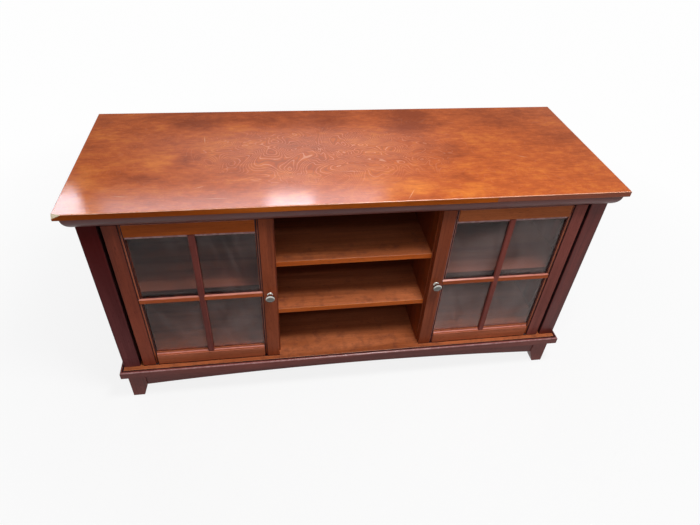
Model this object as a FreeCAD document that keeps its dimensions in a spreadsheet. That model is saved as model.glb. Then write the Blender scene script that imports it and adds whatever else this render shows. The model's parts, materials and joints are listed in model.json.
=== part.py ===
"""A media console with two glazed doors: open centre bay, cornice, arched apron and tapered feet.

Millimetres. The origin is on the ground under the middle of the top board. +X is to the right seen
from the front, the front faces -Y and +Z is up.
"""
import FreeCAD
import Part
import Sketcher
import math
import os

from FreeCAD import Vector

doc = FreeCAD.newDocument("media_console")
sheet = doc.addObject("Spreadsheet::Sheet", "sizes")

DRIVING_SIZES = (
    # Whole cabinet
    ("top_width", 1524, "length of the top board"),
    ("top_depth", 559, "front to rear size of the top board"),
    ("total_height", 762, "ground to the upper face of the top board"),
    ("top_thick", 18, "thickness of the top board"),
    ("top_round", 2, "rounding of the top board's arrises"),
    ("side_overhang", 33, "top board beyond the posts at each end"),
    ("front_overhang", 30.5, "top board beyond the front posts"),
    ("rear_overhang", 12.5, "top board beyond the rear posts"),
    # Case
    ("board_thick", 18, "floor board, dividers and shelves"),
    ("floor_level", 148, "ground to the upper face of the floor board"),
    ("floor_reach", 16.5, "floor board in front of the posts"),
    ("floor_side_reach", 2, "floor board beyond the posts at each end"),
    ("post_size", 50, "square section of the posts"),
    ("post_ease", 2, "chamfer on the outer arrises of the posts"),
    ("panel_thick", 12, "side panel"),
    ("panel_inset", 20, "side panel's outer face behind the post's outer face"),
    ("groove_depth", 8, "grooves that hold the side panels"),
    ("groove_slip", 0.25, "play at the bottom of a groove"),
    ("side_rail_width", 44, "side rails, where they show between the posts"),
    ("side_rail_thick", 8, "side rails, laid on the side panel"),
    ("rear_rail_thick", 18, "thickness of the rear top rail"),
    ("bay_width", 465, "clear width of the open centre bay"),
    ("dado_depth", 6, "grooves in the dividers that carry the fixed shelves"),
    ("shelf_setback", 2, "front of the fixed shelves behind the dividers"),
    ("loose_shelf_lift", 269, "floor board to the underside of the loose shelves"),
    ("loose_shelf_setback", 6, "front of the loose shelves behind the dividers"),
    ("shelf_play", 1.5, "gap round the loose shelves"),
    ("back_thick", 5, "back panels"),
    ("back_lap", 10, "back panel over the rear post, in its rebate"),
    ("cable_hole", 60, "diameter of the cable holes"),
    ("cable_lift", 92, "floor board to the middle of the cable holes"),
    # Cornice
    ("crown_height", 39, "height of the cornice and of the front top rail"),
    ("crown_reach", 21, "cornice in front of the posts, at the top"),
    ("crown_fillet", 6, "upright flat above the curve"),
    ("crown_foot", 2, "cornice in front of the posts, at its lower edge"),
    ("crown_sweep", 42, "radius of the curve"),
    # Base
    ("mould_thick", 9, "base moulding"),
    ("mould_height", 26, "base moulding"),
    ("mould_round", 5, "rounded upper edge of the base moulding"),
    ("seam_ease", 2.5, "chamfers that make the groove behind the base moulding"),
    ("foot_size", 54, "square section of a foot at the top"),
    ("foot_tip", 36, "square section of a foot at the ground"),
    ("foot_taper", 52, "height of the tapered stretch"),
    ("apron_thick", 18, "aprons between the feet"),
    ("apron_inset", 3, "apron behind the face of the feet"),
    ("apron_foot", 50, "ground to the lower edge of the aprons at their ends"),
    ("apron_rise", 24, "rise of the front apron's arch"),
    ("block_leg", 30, "legs of the triangular glue blocks"),
    ("block_height", 40, "glue blocks"),
    # Doors
    ("door_thick", 20, "stiles and rails"),
    ("door_rest", 1, "gap between a closed door and the divider"),
    ("hinge_gap", 10.5, "gap between a post and the door"),
    ("free_reveal", 4, "divider edge left bare beside the door"),
    ("door_lift", 3, "gap under a door"),
    ("door_drop", 3, "gap above a door"),
    ("stile_width", 48, "door stiles with their moulded edge"),
    ("rail_width", 50, "door rails with their moulded edge"),
    ("bead_width", 10, "moulded edge of stiles and rails"),
    ("bead_depth", 6, "depth of the moulded edge beside the glass"),
    ("bead_swell", 2.4, "rise of the rounded bead above its chord"),
    ("quirk_width", 2.5, "narrow groove between the bead and the flat of the frame"),
    ("quirk_depth", 3.5, "narrow groove between the bead and the flat of the frame"),
    ("rebate_width", 8, "rebate for glass and glazing beads"),
    ("rebate_depth", 10, "rebate for glass and glazing beads"),
    ("glass_thick", 3, "pane"),
    ("glass_play", 1, "gap round the pane"),
    ("bar_width", 20, "glazing bars"),
    ("bar_flat", 14, "flat front of the glazing bars"),
    ("bar_setback", 1, "front of the glazing bars behind the stiles"),
    ("bar_bevel", 5, "depth of the bevels of the glazing bars"),
    # Door pivots
    ("pivot_inset", 12, "pivot axis to the hinge edge of the door"),
    ("pin_size", 6, "diameter of the pivot pins"),
    ("pin_play", 0.05, "radial running clearance of a pin"),
    ("pin_grip", 9, "length of pin inside the door"),
    ("bush_size", 10, "outer diameter of the bushes"),
    ("bush_depth", 12, "length of the bushes inside the door"),
    ("flange_size", 14, "diameter of the bush flanges"),
    ("flange_play", 0.4, "gap between a bush flange and the pivot plate"),
    ("plate_length", 40, "pivot plates"),
    ("plate_width", 14, "pivot plates"),
    ("plate_thick", 2, "pivot plates, let in flush"),
    # Knobs, catches and shelf pins
    ("knob_head", 26, "diameter of the knob"),
    ("knob_reach", 25, "knob in front of the door"),
    ("knob_crown", 4, "domed part of the knob head"),
    ("knob_rim", 4, "rounded rim of the knob head"),
    ("knob_neck", 9, "diameter of the neck"),
    ("knob_base", 17, "diameter of the knob's foot"),
    ("knob_base_thick", 4, "foot of the knob"),
    ("screw_size", 4, "diameter of the knob screws"),
    ("screw_play", 0.2, "radial clearance of the knob screws"),
    ("screw_bite", 9, "length of screw inside the knob"),
    ("screw_head", 8, "diameter of the screw heads"),
    ("screw_head_thick", 2.5, "screw heads"),
    ("catch_width", 13, "magnetic catches"),
    ("catch_depth", 20, "magnetic catches"),
    ("catch_height", 42, "magnetic catches"),
    ("catch_drop", 60, "top rail to the upper end of the catches"),
    ("strike_thick", 0.8, "strike plates"),
    ("strike_margin", 4, "strike plate inside the outline of the catch"),
    ("shelf_pin_size", 5, "diameter of the shelf pins"),
    ("shelf_pin_length", 16, "shelf pins"),
    ("shelf_pin_bite", 8, "shelf pin inside the board"),
    ("shelf_pin_play", 0.1, "radial clearance of the shelf pins"),
    ("shelf_pin_inset", 70, "shelf pins behind the front and before the rear of the shelf"),
    ("hole_pitch", 32, "spacing of the shelf pin holes"),
    ("hole_count", 3, "shelf pin holes in a column"),
)


class Size:
    """A length with its present value and the sheet expression that it comes from."""

    def __init__(self, text, value):
        self.text = text
        self.value = value

    def joined(self, sign, other, value):
        return Size(f"({self.text} {sign} {other.text})", value)

    def __add__(self, other):
        other = as_size(other)
        return self.joined("+", other, self.value + other.value)

    def __sub__(self, other):
        other = as_size(other)
        return self.joined("-", other, self.value - other.value)

    def __mul__(self, other):
        other = as_size(other)
        return self.joined("*", other, self.value * other.value)

    def __truediv__(self, other):
        other = as_size(other)
        return self.joined("/", other, self.value / other.value)

    def __neg__(self):
        return Size(f"(-1 * {self.text})", -self.value)

    def __rmul__(self, other):
        return as_size(other) * self


def as_size(number):
    """Plain numbers become sizes, so that both can stand in one formula."""
    if isinstance(number, Size):
        return number
    return Size(str(number), number)


def fill_sheet():
    """Every driving size gets a cell with its name as alias."""
    sizes = {}
    for row, (name, value, note) in enumerate(DRIVING_SIZES, start=1):
        sheet.set(f"A{row}", note)
        sheet.set(f"B{row}", str(value))
        sheet.setAlias(f"B{row}", name)
        sizes[name] = Size(f"sizes.{name}", value)
    doc.recompute()
    return sizes


size = fill_sheet()
pieces = []

LEFT = -1
RIGHT = 1
FRONT = -1
REAR = 1
SIDE_NAMES = {LEFT: "left", RIGHT: "right"}
END_NAMES = {FRONT: "front", REAR: "rear"}


# Planes and levels that several pieces share
case_half = size["top_width"] / 2 - size["side_overhang"]
front_face = size["front_overhang"] - size["top_depth"] / 2
rear_face = size["top_depth"] / 2 - size["rear_overhang"]
top_underside = size["total_height"] - size["top_thick"]
crown_bottom = top_underside - size["crown_height"]
floor_top = size["floor_level"]
floor_underside = floor_top - size["board_thick"]
floor_half = case_half + size["floor_side_reach"]
floor_front = front_face - size["floor_reach"]
post_inner = case_half - size["post_size"]
panel_outer = case_half - size["panel_inset"]
panel_inner = panel_outer - size["panel_thick"]
door_back = front_face + size["door_thick"]
divider_front = door_back + size["door_rest"]
divider_inner = size["bay_width"] / 2
divider_outer = divider_inner + size["board_thick"]
back_inner = rear_face - size["back_thick"]
door_hinge_edge = post_inner - size["hinge_gap"]
door_free_edge = divider_inner + size["free_reveal"]
door_bottom = floor_top + size["door_lift"]
door_top = crown_bottom - size["door_drop"]
glass_front = front_face + size["rebate_depth"]
glass_back = glass_front + size["glass_thick"]
sight_hinge = door_hinge_edge - size["stile_width"]
sight_free = door_free_edge + size["stile_width"]
sight_bottom = door_bottom + size["rail_width"]
sight_top = door_top - size["rail_width"]
pivot_x = door_hinge_edge - size["pivot_inset"]
pivot_y = front_face + size["door_thick"] / 2
bead_span = size["bead_width"] - size["quirk_width"]
knob_x = door_free_edge + (size["stile_width"] - size["bead_width"]) / 2
knob_z = (door_bottom + door_top) / 2


def keep(piece, label):
    """Name a finished sub-part and put it on the list of pieces to write."""
    piece.Label = label
    pieces.append(piece)
    return piece


def bind(piece, **values):
    """Tie properties of an object to the sheet; two underscores stand for a dot."""
    for name, value in values.items():
        piece.setExpression(name.replace("__", "."), as_size(value).text)
    return piece


def place(piece, x, y, z):
    return bind(piece, Placement__Base__x=x, Placement__Base__y=y, Placement__Base__z=z)


def board(low, high):
    """A rectangular board between two corners."""
    block = doc.addObject("Part::Box", "board")
    bind(block, Length=high[0] - low[0], Width=high[1] - low[1], Height=high[2] - low[2])
    return place(block, *low)


def side_board(side, low, high):
    """A board given for the right-hand end, at that end or mirrored to the left."""
    if side == RIGHT:
        return board(low, high)
    return board((-high[0], low[1], low[2]), (-low[0], high[1], high[2]))


def rod(diameter, length, x, y, z, axis):
    """A round rod that starts at a point and runs along an axis."""
    round_bar = doc.addObject("Part::Cylinder", "rod")
    round_bar.Placement.Rotation = FreeCAD.Rotation(Vector(0, 0, 1), axis)
    bind(round_bar, Radius=diameter / 2, Height=length)
    return place(round_bar, x, y, z)


def less(base, *tools):
    """The base with the tools cut away."""
    for tool in tools:
        cut = doc.addObject("Part::Cut", "cut")
        cut.Base = base
        cut.Tool = tool
        base = cut
    return base


def joined(*solids):
    fused = doc.addObject("Part::MultiFuse", "fused")
    fused.Shapes = list(solids)
    fused.Refine = True
    return fused


def group(*solids):
    """Separate solids that share one node."""
    compound = doc.addObject("Part::Compound", "group")
    compound.Links = list(solids)
    return compound


def origin_plane(body, role):
    for feature in body.Origin.OriginFeatures:
        if feature.Role == role:
            return feature


def edge_between(start, end, radius):
    """A straight edge, or an arc that turns left (positive radius) or right (negative radius)."""
    first = Vector(start[0].value, start[1].value, 0)
    last = Vector(end[0].value, end[1].value, 0)
    if radius is None:
        return Part.LineSegment(first, last), 1, 2
    chord = last - first
    reach = math.sqrt(radius.value ** 2 - (chord.Length / 2) ** 2)
    left = Vector(-chord.y, chord.x, 0).normalize()
    turn = math.copysign(1, radius.value)
    centre = (first + last) / 2 + left * (turn * reach)
    circle = Part.Circle(centre, Vector(0, 0, 1), abs(radius.value))
    if turn > 0:
        return Part.ArcOfCircle(circle, circle.parameter(first), circle.parameter(last)), 1, 2
    return Part.ArcOfCircle(circle, circle.parameter(last), circle.parameter(first)), 2, 1


def tie_point(sketch, edge, end, point):
    """Hold one sketch point at two sheet distances from the sketch origin, or on an axis where that is 0."""
    for name, axis, value in (("DistanceX", -2, point[0]), ("DistanceY", -1, point[1])):
        if value.text == "0":
            sketch.addConstraint(Sketcher.Constraint("PointOnObject", edge, end, axis))
        else:
            spot = sketch.addConstraint(Sketcher.Constraint(name, -1, 1, edge, end, value.value))
            sketch.setExpression(f"Constraints[{spot}]", value.text)


def outline(body, plane, corners, level=None):
    """A closed sketch in a body.

    Each corner is (u, v) or (u, v, radius), where the radius belongs to the edge that starts there.
    On the XY plane u, v are x, y; on XZ they are x, z; on YZ they are y, z.
    """
    sketch = body.newObject("Sketcher::SketchObject", "outline")
    sketch.AttachmentSupport = [(origin_plane(body, plane), "")]
    sketch.MapMode = "FlatFace"
    if level is not None:
        bind(sketch, AttachmentOffset__Base__z=level)
    points = [(as_size(corner[0]), as_size(corner[1])) for corner in corners]
    radii = [corner[2] if len(corner) > 2 else None for corner in corners]
    ends = []
    for index, radius in enumerate(radii):
        following = points[(index + 1) % len(points)]
        geometry, first, last = edge_between(points[index], following, radius)
        ends.append((sketch.addGeometry(geometry, False), first, last))
    for index, (edge, first, _) in enumerate(ends):
        before, _, before_end = ends[index - 1]
        sketch.addConstraint(Sketcher.Constraint("Coincident", before, before_end, edge, first))
        tie_point(sketch, edge, first, points[index])
        if radii[index] is not None:
            spot = sketch.addConstraint(Sketcher.Constraint("Radius", edge, abs(radii[index].value)))
            wanted = radii[index] if radii[index].value > 0 else -radii[index]
            sketch.setExpression(f"Constraints[{spot}]", wanted.text)
    return sketch


def prism(plane, corners, start, end):
    """A closed outline padded along the normal of its plane, from one level to another."""
    body = doc.addObject("PartDesign::Body", "body")
    level = -start if plane == "XZ_Plane" else start
    pad = body.newObject("PartDesign::Pad", "pad")
    pad.Profile = outline(body, plane, corners, level)
    pad.Reversed = plane == "XZ_Plane"
    bind(pad, Length=end - start)
    return body


def turned(corners):
    """A closed half outline, radius first, revolved about the body's Z axis."""
    body = doc.addObject("PartDesign::Body", "body")
    half = outline(body, "XZ_Plane", corners)
    turning = body.newObject("PartDesign::Revolution", "turning")
    turning.Profile = half
    turning.ReferenceAxis = (half, ["V_Axis"])
    return body


def mirrored_corners(side, corners):
    """Corners given for the right-hand end; arcs turn the other way on the left."""
    if side == RIGHT:
        return corners
    flipped = []
    for corner in corners:
        flipped.append((-as_size(corner[0]), corner[1]) + tuple(-radius for radius in corner[2:]))
    return flipped


# Top board, with eased arrises


def make_top():
    half_width = size["top_width"] / 2
    half_depth = size["top_depth"] / 2
    corners = (
        (-half_width, -half_depth),
        (half_width, -half_depth),
        (half_width, half_depth),
        (-half_width, half_depth),
    )
    body = prism("XY_Plane", corners, top_underside, size["total_height"])
    doc.recompute()
    pad = body.Tip
    rounding = body.newObject("PartDesign::Fillet", "rounding")
    upright = size["top_thick"].value / 2
    edges = enumerate(pad.Shape.Edges, start=1)
    rounding.Base = (pad, [f"Edge{i}" for i, edge in edges if edge.BoundBox.ZLength < upright])
    bind(rounding, Radius=size["top_round"])
    keep(body, "top_panel")


# Cornice: one moulded section, mitred at the two front corners


def crown_section():
    """Height against reach in front of the posts, seen from the side."""
    reach = size["crown_reach"]
    foot = size["crown_foot"]
    curve_top = top_underside - size["crown_fillet"]
    return (
        (0, top_underside),
        (0, crown_bottom),
        (foot, crown_bottom, size["crown_sweep"]),
        (reach, curve_top),
        (reach, top_underside),
    )


def mould_section():
    """Base moulding: rounded upper edge, and a chamfer that makes the groove behind it."""
    reach = size["mould_thick"]
    bottom = floor_top - size["mould_height"]
    ease = size["seam_ease"]
    rounding = size["mould_round"]
    return (
        (0, bottom),
        (reach, bottom),
        (reach, floor_top - rounding, rounding),
        (reach - rounding, floor_top),
        (ease, floor_top),
        (0, floor_top - ease),
    )


def corner_wedge(side, inner_x, inner_y, reach, low, high, keep_front):
    """The half of a square corner that a mitre takes off, beyond a 45 degree line."""
    outer_x = inner_x + reach
    outer_y = inner_y - reach
    if keep_front:
        corners = ((inner_x, inner_y), (outer_x, outer_y), (outer_x, inner_y))
    else:
        corners = ((inner_x, inner_y), (inner_x, outer_y), (outer_x, outer_y))
    return prism("XY_Plane", mirrored_corners(side, corners), low, high)


def front_length(label, section, inner_x, inner_y, reach, low, high):
    """A moulding along the front, mitred at both ends."""
    corners = [(inner_y - corner[0],) + tuple(corner[1:]) for corner in section]
    turned_round = [corner[:2] + tuple(-radius for radius in corner[2:]) for corner in corners]
    length = prism("YZ_Plane", turned_round, -inner_x - reach, inner_x + reach)
    wedges = [corner_wedge(side, inner_x, inner_y, reach, low, high, True) for side in (LEFT, RIGHT)]
    keep(less(length, *wedges), label)


def side_length(label, section, side, inner_x, inner_y, reach, low, high):
    """A moulding along one end, mitred at the front."""
    corners = [(inner_x + corner[0],) + tuple(corner[1:]) for corner in section]
    length = prism("XZ_Plane", mirrored_corners(side, corners), inner_y - reach, rear_face)
    wedge = corner_wedge(side, inner_x, inner_y, reach, low, high, False)
    keep(less(length, wedge), label)


def make_mouldings():
    crown = (case_half, front_face, size["crown_reach"], crown_bottom, top_underside)
    front_length("cornice_front", crown_section(), *crown)
    mould_low = floor_top - size["mould_height"]
    mould = (floor_half, floor_front, size["mould_thick"], mould_low, floor_top)
    front_length("base_mould_front", mould_section(), *mould)
    for side in (LEFT, RIGHT):
        side_length(f"cornice_{SIDE_NAMES[side]}", crown_section(), side, *crown)
        side_length(f"base_mould_{SIDE_NAMES[side]}", mould_section(), side, *mould)


# Case: posts, rails, panels, dividers and boards


def make_post(side, end):
    """A square post with a groove for the side panel; the rear ones are rebated for the back panel."""
    face = front_face if end == FRONT else rear_face
    inward = -end
    ease = size["post_ease"]
    back = face + inward * size["post_size"]
    groove_floor = back - inward * size["groove_depth"]
    corners = [
        (case_half - ease, face),
        (case_half, face + inward * ease),
        (case_half, back),
        (panel_outer, back),
        (panel_outer, groove_floor),
        (panel_inner, groove_floor),
        (panel_inner, back),
        (post_inner, back),
    ]
    if end == FRONT:
        corners += [(post_inner, face + inward * ease), (post_inner + ease, face)]
    else:
        corners += [(post_inner, back_inner), (post_inner + size["back_lap"], back_inner)]
        corners += [(post_inner + size["back_lap"], face)]
    body = prism("XY_Plane", mirrored_corners(side, corners), floor_top, top_underside)
    keep(body, f"post_{END_NAMES[end]}_{SIDE_NAMES[side]}")


def pin_holes(side_of_board, x, y_places, bite):
    """Columns of blind holes for shelf pins in one face of a board."""
    holes = []
    middle = floor_top + size["loose_shelf_lift"] - size["shelf_pin_size"] / 2
    diameter = size["shelf_pin_size"] + size["shelf_pin_play"] * 2
    for y in y_places:
        column = doc.addObject("PartDesign::Body", "hole_column")
        hole = column.newObject("PartDesign::Pad", "hole")
        sketch = column.newObject("Sketcher::SketchObject", "ring")
        sketch.AttachmentSupport = [(origin_plane(column, "YZ_Plane"), "")]
        sketch.MapMode = "FlatFace"
        bind(sketch, AttachmentOffset__Base__z=x)
        lowest = middle - size["hole_pitch"]
        ring = Part.Circle(Vector(y.value, lowest.value, 0), Vector(0, 0, 1), diameter.value / 2)
        sketch.addGeometry(ring, False)
        tie_point(sketch, 0, 3, (y, lowest))
        spot = sketch.addConstraint(Sketcher.Constraint("Radius", 0, diameter.value / 2))
        sketch.setExpression(f"Constraints[{spot}]", (diameter / 2).text)
        hole.Profile = sketch
        hole.Reversed = side_of_board < 0
        bind(hole, Length=bite)
        doc.recompute()
        row = column.newObject("PartDesign::LinearPattern", "row")
        row.Originals = [hole]
        row.Direction = (sketch, ["V_Axis"])
        bind(row, Length=size["hole_pitch"] * (size["hole_count"] - 1), Occurrences=size["hole_count"])
        column.Tip = row
        holes.append(column)
    return holes


loose_shelf_front = divider_front + size["loose_shelf_setback"]
loose_shelf_rear = back_inner - size["shelf_play"]
loose_shelf_bottom = floor_top + size["loose_shelf_lift"]
pin_places = (
    loose_shelf_front + size["shelf_pin_inset"],
    loose_shelf_rear - size["shelf_pin_inset"],
)
pin_hole_depth = size["shelf_pin_bite"] + size["groove_slip"]
front_post_back = front_face + size["post_size"]
rear_post_front = rear_face - size["post_size"]


def make_side(side):
    """A frame and panel end between the two posts."""
    name = SIDE_NAMES[side]
    tongue = size["groove_depth"] - size["groove_slip"]
    panel = side_board(
        side,
        (panel_inner, front_post_back - tongue, floor_top),
        (panel_outer, rear_post_front + tongue, top_underside),
    )
    holes = pin_holes(side, side * panel_inner, pin_places, pin_hole_depth)
    keep(less(panel, *holes), f"side_panel_{name}")
    rail_outer = panel_outer + size["side_rail_thick"]
    rails = []
    for low, high in (
        (floor_top, floor_top + size["side_rail_width"]),
        (crown_bottom - size["side_rail_width"], top_underside),
    ):
        rails.append(side_board(
            side,
            (panel_outer, front_post_back, low),
            (rail_outer, rear_post_front, high),
        ))
    keep(group(*rails), f"side_rails_{name}")


FIXED_SHELVES = 2
opening_height = crown_bottom - floor_top
shelf_gap = (opening_height - size["board_thick"] * FIXED_SHELVES) / (FIXED_SHELVES + 1)
lower_shelf = floor_top + shelf_gap
upper_shelf = lower_shelf + size["board_thick"] + shelf_gap
rear_rail_bottom = crown_bottom
rear_rail_front = back_inner - size["rear_rail_thick"]


def make_divider(side):
    """Upright board with two shelf grooves, a notch for the rear rail and shelf pin holes."""
    corners = (
        (divider_front, floor_top),
        (back_inner, floor_top),
        (back_inner, rear_rail_bottom),
        (rear_rail_front, rear_rail_bottom),
        (rear_rail_front, top_underside),
        (divider_front, top_underside),
    )
    low = divider_inner if side == RIGHT else -divider_outer
    upright = prism("YZ_Plane", corners, low, low + size["board_thick"])
    shelf_front = divider_front + size["shelf_setback"]
    cuts = []
    for level in (lower_shelf, upper_shelf):
        cuts.append(side_board(
            side,
            (divider_inner, shelf_front, level),
            (divider_inner + size["dado_depth"], back_inner, level + size["board_thick"]),
        ))
    cuts += pin_holes(-side, side * divider_outer, pin_places, pin_hole_depth)
    keep(less(upright, *cuts), f"divider_{SIDE_NAMES[side]}")


def make_fixed_shelves():
    half = divider_inner + size["dado_depth"]
    front = divider_front + size["shelf_setback"]
    for label, level in (("shelf_lower", lower_shelf), ("shelf_upper", upper_shelf)):
        low = (-half, front, level)
        high = (half, back_inner, level + size["board_thick"])
        keep(board(low, high), label)


def make_loose_shelf(side):
    """A shelf behind a door, notched round the two posts."""
    play = size["shelf_play"]
    inner = divider_outer + play
    outer = panel_inner - play
    beside_post = post_inner - play
    corners = (
        (inner, loose_shelf_front),
        (beside_post, loose_shelf_front),
        (beside_post, front_post_back + play),
        (outer, front_post_back + play),
        (outer, rear_post_front - play),
        (beside_post, rear_post_front - play),
        (beside_post, loose_shelf_rear),
        (inner, loose_shelf_rear),
    )
    top = loose_shelf_bottom + size["board_thick"]
    body = prism("XY_Plane", mirrored_corners(side, corners), loose_shelf_bottom, top)
    keep(body, f"shelf_{SIDE_NAMES[side]}")


def make_shelf_pins():
    """Two pins in the divider and two in the side panel under each loose shelf."""
    pins = []
    diameter = size["shelf_pin_size"]
    level = loose_shelf_bottom - diameter / 2
    length = size["shelf_pin_length"]
    bite = size["shelf_pin_bite"]
    for side in (LEFT, RIGHT):
        outward = Vector(side, 0, 0)
        for y in pin_places:
            pins.append(rod(diameter, length, side * (divider_outer - bite), y, level, outward))
            pins.append(rod(diameter, length, side * (panel_inner + bite), y, level, -outward))
    keep(group(*pins), "shelf_pins")


def pivot_pocket(side, low, high):
    """The recess that holds a pivot plate, and the shape of the plate itself."""
    half_length = size["plate_length"] / 2
    half_width = size["plate_width"] / 2
    middle = pivot_x - half_length + size["plate_width"] / 2
    return side_board(
        side,
        (middle - half_length, pivot_y - half_width, low),
        (middle + half_length, pivot_y + half_width, high),
    )


def make_top_rails():
    low = (-post_inner, front_face, crown_bottom)
    high = (post_inner, divider_front, top_underside)
    pockets = [pivot_pocket(side, crown_bottom, crown_bottom + size["plate_thick"]) for side in (LEFT, RIGHT)]
    keep(less(board(low, high), *pockets), "top_rail_front")
    rear_low = (-post_inner, rear_rail_front, rear_rail_bottom)
    rear_high = (post_inner, back_inner, top_underside)
    keep(board(rear_low, rear_high), "top_rail_rear")


def make_floor():
    """The floor board, eased along its outer arrises where the base moulding meets it."""
    ease = size["seam_ease"]
    slab = board((-floor_half, floor_front, floor_underside), (floor_half, rear_face, floor_top))
    front_ease = prism(
        "YZ_Plane",
        ((floor_front, floor_top - ease), (floor_front + ease, floor_top), (floor_front, floor_top)),
        -floor_half,
        floor_half,
    )
    cuts = [front_ease]
    for side in (LEFT, RIGHT):
        arris = (
            (floor_half, floor_top - ease),
            (floor_half, floor_top),
            (floor_half - ease, floor_top),
        )
        cuts.append(prism("XZ_Plane", mirrored_corners(side, arris), floor_front, rear_face))
        cuts.append(pivot_pocket(side, floor_top - size["plate_thick"], floor_top))
    keep(less(slab, *cuts), "bottom_panel")


def make_back():
    """Three thin panels, each with a round hole for cables."""
    outer = post_inner + size["back_lap"]
    seam = (divider_inner + divider_outer) / 2
    stretches = (("left", -outer, -seam), ("centre", -seam, seam), ("right", seam, outer))
    for name, low, high in stretches:
        panel = board((low, back_inner, floor_top), (high, rear_face, top_underside))
        hole = rod(
            size["cable_hole"],
            size["back_thick"],
            (low + high) / 2,
            back_inner,
            floor_top + size["cable_lift"],
            Vector(0, 1, 0),
        )
        keep(less(panel, hole), f"back_panel_{name}")


# Base: feet, aprons and glue blocks


foot_inner = case_half - size["foot_size"]


def make_foot(side, end):
    """A square foot, straight outside and tapered on its two inner faces."""
    face = front_face if end == FRONT else rear_face
    inward = -end

    def square(width):
        far = face + inward * width
        corners = ((case_half, face), (case_half, far), (case_half - width, far), (case_half - width, face))
        return mirrored_corners(side, corners)

    body = doc.addObject("PartDesign::Body", "foot")
    shoulder = outline(body, "XY_Plane", square(size["foot_size"]), size["foot_taper"])
    upper = body.newObject("PartDesign::Pad", "upper")
    upper.Profile = shoulder
    bind(upper, Length=floor_underside - size["foot_taper"])
    tip = outline(body, "XY_Plane", square(size["foot_tip"]))
    doc.recompute()
    taper = body.newObject("PartDesign::AdditiveLoft", "taper")
    taper.Profile = shoulder
    taper.Sections = [tip]
    taper.Ruled = True
    body.Tip = taper
    keep(body, f"foot_{END_NAMES[end]}_{SIDE_NAMES[side]}")


def make_aprons():
    """The front apron is arched, a circle through its two ends and its crown; the others are straight."""
    foot = size["apron_foot"]
    rise = size["apron_rise"]
    span = foot_inner * 2
    arch_radius = span * span / (rise * 8) + rise / 2
    front = front_face + size["apron_inset"]
    arch = (
        (-foot_inner, foot, -arch_radius),
        (foot_inner, foot),
        (foot_inner, floor_underside),
        (-foot_inner, floor_underside),
    )
    keep(prism("XZ_Plane", arch, front, front + size["apron_thick"]), "apron_front")
    rear = rear_face - size["apron_inset"]
    rear_low = (-foot_inner, rear - size["apron_thick"], foot)
    keep(board(rear_low, (foot_inner, rear, floor_underside)), "apron_rear")
    outer = case_half - size["apron_inset"]
    sides = []
    for side in (LEFT, RIGHT):
        low = (outer - size["apron_thick"], front_face + size["foot_size"], foot)
        high = (outer, rear_face - size["foot_size"], floor_underside)
        sides.append(side_board(side, low, high))
    keep(group(*sides), "side_aprons")


def make_corner_blocks():
    """Triangular blocks glued behind the front and rear aprons, against the feet."""
    leg = size["block_leg"]
    low = floor_underside - size["block_height"]
    blocks = []
    for end in (FRONT, REAR):
        face = front_face if end == FRONT else rear_face
        inward = -end
        corner_y = face + inward * (size["apron_inset"] + size["apron_thick"])
        for side in (LEFT, RIGHT):
            corners = (
                (foot_inner, corner_y),
                (foot_inner, corner_y + inward * leg),
                (foot_inner - leg, corner_y),
            )
            blocks.append(prism("XY_Plane", mirrored_corners(side, corners), low, floor_underside))
    keep(group(*blocks), "corner_blocks")


# Doors: moulded stiles and rails, glazing bars coped over them, glass and beads


def frame_section(outer, inner, toward):
    """Section of a stile or rail: a groove and a bead towards the glass in front, a rebate for it behind.

    The first coordinate runs from the outer edge to the glass, the second from front to back;
    toward is the sign of that run.
    """
    flat = inner - toward * size["bead_width"]
    bead_start = flat + toward * size["quirk_width"]
    fall = size["bead_depth"] - size["quirk_depth"]
    bead_radius = (bead_span * bead_span + fall * fall) / (size["bead_swell"] * 8) + size["bead_swell"] / 2
    groove_floor = front_face + size["quirk_depth"]
    shoulder = inner - toward * size["rebate_width"]
    return (
        (outer, front_face),
        (outer, door_back),
        (shoulder, door_back),
        (shoulder, glass_front),
        (inner, glass_front),
        (inner, front_face + size["bead_depth"], toward * bead_radius),
        (bead_start, groove_floor),
        (flat, groove_floor),
        (flat, front_face),
    )


def swapped(corners):
    """The same outline with its two coordinates exchanged, which also turns its arcs round."""
    return [(corner[1], corner[0]) + tuple(-radius for radius in corner[2:]) for corner in corners]


def pivot_bore(side, low, high):
    return rod(size["bush_size"], high - low, side * pivot_x, pivot_y, low, Vector(0, 0, 1))


def make_stiles(side):
    name = SIDE_NAMES[side]
    hinge = frame_section(door_hinge_edge, sight_hinge, LEFT)
    stile = prism("XY_Plane", mirrored_corners(side, hinge), door_bottom, door_top)
    depth = size["bush_depth"]
    bores = (pivot_bore(side, door_bottom, door_bottom + depth), pivot_bore(side, door_top - depth, door_top))
    keep(less(stile, *bores), f"hinge_stile_{name}")
    free = frame_section(door_free_edge, sight_free, RIGHT)
    stile = prism("XY_Plane", mirrored_corners(side, free), door_bottom, door_top)
    clearance = size["screw_size"] + size["screw_play"] * 2
    hole = rod(clearance, size["door_thick"], side * knob_x, front_face, knob_z, Vector(0, 1, 0))
    keep(less(stile, hole), f"knob_stile_{name}")


def between_stiles(side, margin=0):
    """The two ends of a horizontal piece that runs past the sight lines of the stiles by a margin."""
    low = sight_free - margin
    high = sight_hinge + margin
    if side == RIGHT:
        return low, high
    return -high, -low


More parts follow.
